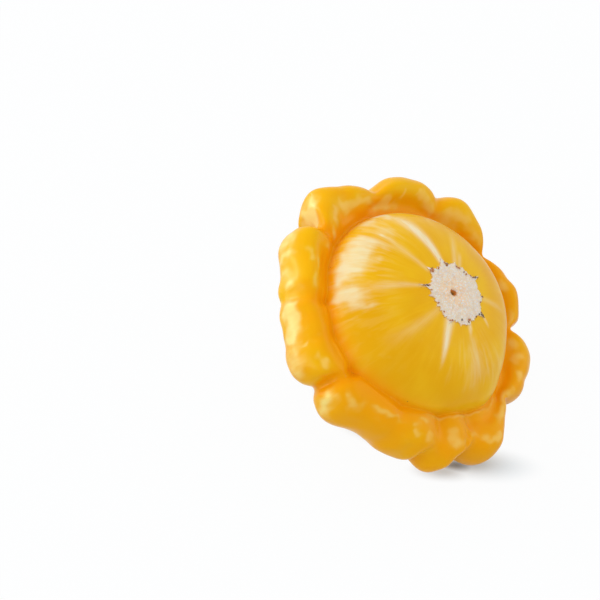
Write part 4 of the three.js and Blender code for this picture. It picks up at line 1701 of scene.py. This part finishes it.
@dataclass
class Stem:
    """The cut stem: five ribs, a pale flare where it meets the shoulder, and a slanting cut."""

    fruit: Fruit
    length: float = 11.0
    radius: float = 5.4
    flare: float = 1.8
    flare_length: float = 2.6
    ribs: int = 5
    rib_depth: float = 0.1
    rib_start: float = 20.0
    taper: float = 0.05
    cut_slant: float = 8.0
    cut_facing: float = 80.0
    rounding: float = 0.5
    foot_rise: float = 0.1
    spare_length: float = 0.6
    fibres: tuple[Grain, ...] = (Grain(0.10, 0.35, 81), Grain(0.05, 0.15, 82))
    fibre_drop: float = 0.12
    fibres_start: float = 1.2
    pale_foot: float = 2.4
    cut_starts: float = 0.985
    cut_hollow: float = 0.5
    cut_hollow_width: float = 2.2
    cut_grain: Grain = Grain(0.06, 1.1, 83)
    columns: int = 200
    rows: int = 70
    cut_rows: int = 24

    def shell(self) -> Shell:
        """The stem as a closed surface.

        The radius is the plain taper plus a flare that dies away as a bell curve, times a cosine
        of the ribs; fine fibres and the slanting cut are added, and the cut's edge is rounded.

        Returns:
            The surface, with the stem's marks.
        """
        degrees = -np.arange(self.columns)[None] * 360.0 / self.columns
        along = np.linspace(0.0, 1.0, self.rows)[:, None]
        rib = np.cos(self.ribs * np.radians(degrees - self.rib_start))
        flare = self.flare * bell(along * self.length, self.flare_length)
        radius = (self.radius * (1.0 - self.taper * along) + flare) * (1.0 + self.rib_depth * rib)
        direction = on_polar(degrees, np.ones_like(degrees), np.zeros_like(degrees))
        fibres = layered(self.fibres, direction) - self.fibre_drop
        radius = radius + fibres * (1.0 - bell(along * self.length, self.fibres_start))
        past_edge = np.clip((1.0 - along) * self.length / self.rounding, 0.0, 1.0)
        radius = radius - self.rounding * (1.0 - np.sqrt(past_edge * (2.0 - past_edge)))
        foot = self.foot_rise - self.fruit.shoulder_depth
        depth = self.length + self.spare_length
        slant = math.tan(math.radians(self.cut_slant)) * np.cos(np.radians(degrees - self.cut_facing))
        side = on_polar(degrees, radius, foot - along * depth + along * slant * radius)
        centre = np.array([0.0, 0.0, foot - depth])
        inward = np.linspace(1.0, 0.0, self.cut_rows + 2)[1:-1, None]
        cut = centre + (side[-1][None] - centre) * inward[..., None]
        hollow = self.cut_hollow * bell(inward * self.radius, self.cut_hollow_width)
        cut[..., 2] += hollow + self.cut_grain.at(cut)
        rings = np.concatenate([side, cut])
        angle = np.radians(np.broadcast_to(degrees, rings.shape[:2]))
        marks = {}
        for name, on_side, on_cut in (
            ("foot", bell(along * self.length, self.pale_foot), 0.0),
            ("cut", smooth(along, self.cut_starts, 1.0), 1.0),
            ("rib", np.clip(rib, 0.0, 1.0), 0.0),
        ):
            parts = np.broadcast_to(on_side, radius.shape), np.full(cut.shape[:2], on_cut)
            marks[name] = np.concatenate(parts)
        marks["around"] = np.stack([np.cos(angle), np.sin(angle), rings[..., 2]], axis=-1)
        placed = self.fruit.lie.placed
        start = placed(np.array([0.0, 0.0, foot]))
        return Shell(placed(rings), start, placed(centre + [0.0, 0.0, self.cut_hollow]), marks)

    def build(self) -> bpy.types.Object:
        """Makes the stem's piece, in place of its node.

        Returns:
            The piece.
        """
        piece = make_piece("cut_stem", [self.shell()])
        piece.data.materials.append(StemFinish().material())
        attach(piece, "root")
        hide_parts("stem")
        return piece


# ---- Studio ---------------------------------------------------------------------------------


@dataclass(frozen=True)
class Softbox:
    """A flat lamp that faces the squash.

    Attributes:
        name: The lamp's name.
        azimuth: Its side, from +Y towards +X.
        elevation: Its height above the horizon, in degrees.
        distance: Its distance from the squash, in metres.
        size: Its width and height, in metres.
        radiance: How bright its face is, where 1 is the white of the table.
        lights_matt: Whether it lights matt surfaces, or only shows in gloss.
    """

    name: str
    azimuth: float
    elevation: float
    distance: float
    size: Pair
    radiance: float
    lights_matt: bool = True

    def build(self, target: Vector) -> None:
        """Makes the lamp, aimed at a point.

        Args:
            target: The point, in metres.
        """
        side, rise = math.radians(self.azimuth), math.radians(self.elevation)
        level = math.cos(rise)
        away = Vector((math.sin(side) * level, math.cos(side) * level, math.sin(rise)))
        lamp = bpy.data.lights.new(self.name, "AREA")
        lamp.shape = "RECTANGLE"
        lamp.size, lamp.size_y = self.size
        lamp.energy = self.radiance * math.pi * self.size[0] * self.size[1]
        holder = add_object(self.name, lamp)
        holder.location = target + away * self.distance
        holder.rotation_euler = (-away).to_track_quat("-Z", "Y").to_euler()
        holder.visible_camera = False
        holder.visible_diffuse = self.lights_matt
        holder.visible_glossy = not self.lights_matt


@dataclass
class Studio:
    """The white table, the soft lamps and the camera.

    Attributes:
        lie: How the squash lies.
        eye_lean: The lean of the squash's axis from the line of sight.
        eye_turn: The side that the axis points to in the picture, from its right edge upward.
        eye_distance: From the camera to the squash's own origin.
        view_width: What the picture spans from side to side, at that distance.
        squash_off: How far right of the picture's middle and below it that origin stands.
        sensor_width: Of the camera, in millimetres.
        table_size: In metres.
        table_drop: How far the table's top is under the squash, in metres.
        aim_height: How far over the table the lamps aim, in metres.
        sky: The light of the surroundings.
        sky_overhead: How bright they show overhead in gloss.
        softboxes: The lamps.
    """

    lie: Lie
    eye_lean: float = 46.0
    eye_turn: float = 31.0
    eye_distance: float = 800.0
    view_width: float = 184.388
    squash_off: Pair = (32.422, 6.607)
    sensor_width: float = 36.0
    table_size: float = 6.0
    table_drop: float = 0.0001
    aim_height: float = 0.03
    sky: float = 0.93
    sky_overhead: float = 0.2
    softboxes: tuple[Softbox, ...] = (
        Softbox("key", -85.0, 34.0, 0.9, (0.7, 0.6), 1.85),
        Softbox("window", -75.0, 10.0, 0.9, (1.0, 0.26), 8.0, lights_matt=False),
        Softbox("front_window", -125.0, 10.0, 0.9, (0.7, 0.26), 8.0, lights_matt=False),
        Softbox("right_card", 80.0, 20.0, 0.9, (0.8, 0.7), 1.2, lights_matt=False),
    )

    def eye_axes(self) -> np.ndarray:
        """The camera's right, up and backward axes in the squash's own frame, one in each row.

        The squash's axis leans away from the line of sight by one angle, and in the picture it
        points to the side that the other angle gives.

        Returns:
            The three unit vectors.
        """
        lean, side = math.radians(self.eye_lean), math.radians(self.eye_turn)
        off_sight = math.sin(lean)
        axis = np.array([off_sight * math.cos(side), off_sight * math.sin(side), math.cos(lean)])
        across = np.array([-math.sin(side), math.cos(side), 0.0])
        return np.stack([np.cross(across, axis), across, axis], axis=1)

    def camera(self) -> None:
        """Makes the camera. It aims beside the squash, which so stands where it should in the frame."""
        right, up, back = self.eye_axes() @ self.lie.rotation().T
        off = np.array(self.squash_off) / self.eye_distance
        place = (self.lie.shift + back * self.eye_distance) * MM
        aim_back = back + off[0] * right - off[1] * up
        aim_back /= np.linalg.norm(aim_back)
        aim_right = np.cross(up, aim_back)
        aim_right /= np.linalg.norm(aim_right)
        aim_up = np.cross(aim_back, aim_right)
        data = bpy.data.cameras.new("camera")
        data.sensor_width = self.sensor_width
        data.lens = self.sensor_width * self.eye_distance / self.view_width
        camera = add_object("camera", data)
        turn_to = Matrix(np.stack([aim_right, aim_up, aim_back], axis=1).tolist()).to_4x4()
        camera.matrix_world = Matrix.Translation(Vector(place)) @ turn_to
        bpy.context.scene.camera = camera

    def table(self) -> None:
        """Makes the table's top, a hair under the squash."""
        half = self.table_size / 2.0
        square = ((-half, -half), (half, -half), (half, half), (-half, half))
        corners = [(across, back, -self.table_drop) for across, back in square]
        mesh = bpy.data.meshes.new("table")
        mesh.from_pydata(corners, [], [(0, 1, 2, 3)])
        mesh.materials.append(FloorFinish().material())
        table = add_object("table", mesh)

    def world(self) -> None:
        """Makes the surroundings: white at the horizon and dimmer overhead, with even soft light."""
        world = bpy.data.worlds.new("surroundings")
        world.use_nodes = True
        bpy.context.scene.world = world
        graph = Graph(world.node_tree)
        direction = graph.add("TexCoord").outputs["Generated"]
        height = graph.add("SeparateXYZ", {0: direction}).outputs["Z"]
        shown = graph.ramp(height, 0.25, 0.75, 1.0, self.sky_overhead)
        strength = graph.between(seen_directly(graph), self.sky, shown)
        shader = graph.add("Background", {"Color": (1.0, 1.0, 1.0), "Strength": strength})
        graph.finish("OutputWorld", shader)

    def build(self) -> None:
        """Makes the table, the lamps, the surroundings and the camera."""
        self.table()
        self.world()
        for softbox in self.softboxes:
            softbox.build(Vector((0.0, 0.0, self.aim_height)))
        self.camera()
        bpy.context.scene.view_settings.view_transform = "Standard"


# ---- Whole scene ----------------------------------------------------------------------------


def main() -> None:
    """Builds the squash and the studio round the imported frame."""
    logging.basicConfig(level=logging.INFO, format="%(name)s: %(message)s")
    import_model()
    lie = Lie()
    fruit = Fruit(lie)
    for part in (fruit, Blossom(fruit), Stem(fruit)):
        piece = part.build()
        LOG.info("%s has %d faces", piece.name, len(piece.data.polygons))
    Studio(lie).build()


if __name__ == "__main__":
    main()
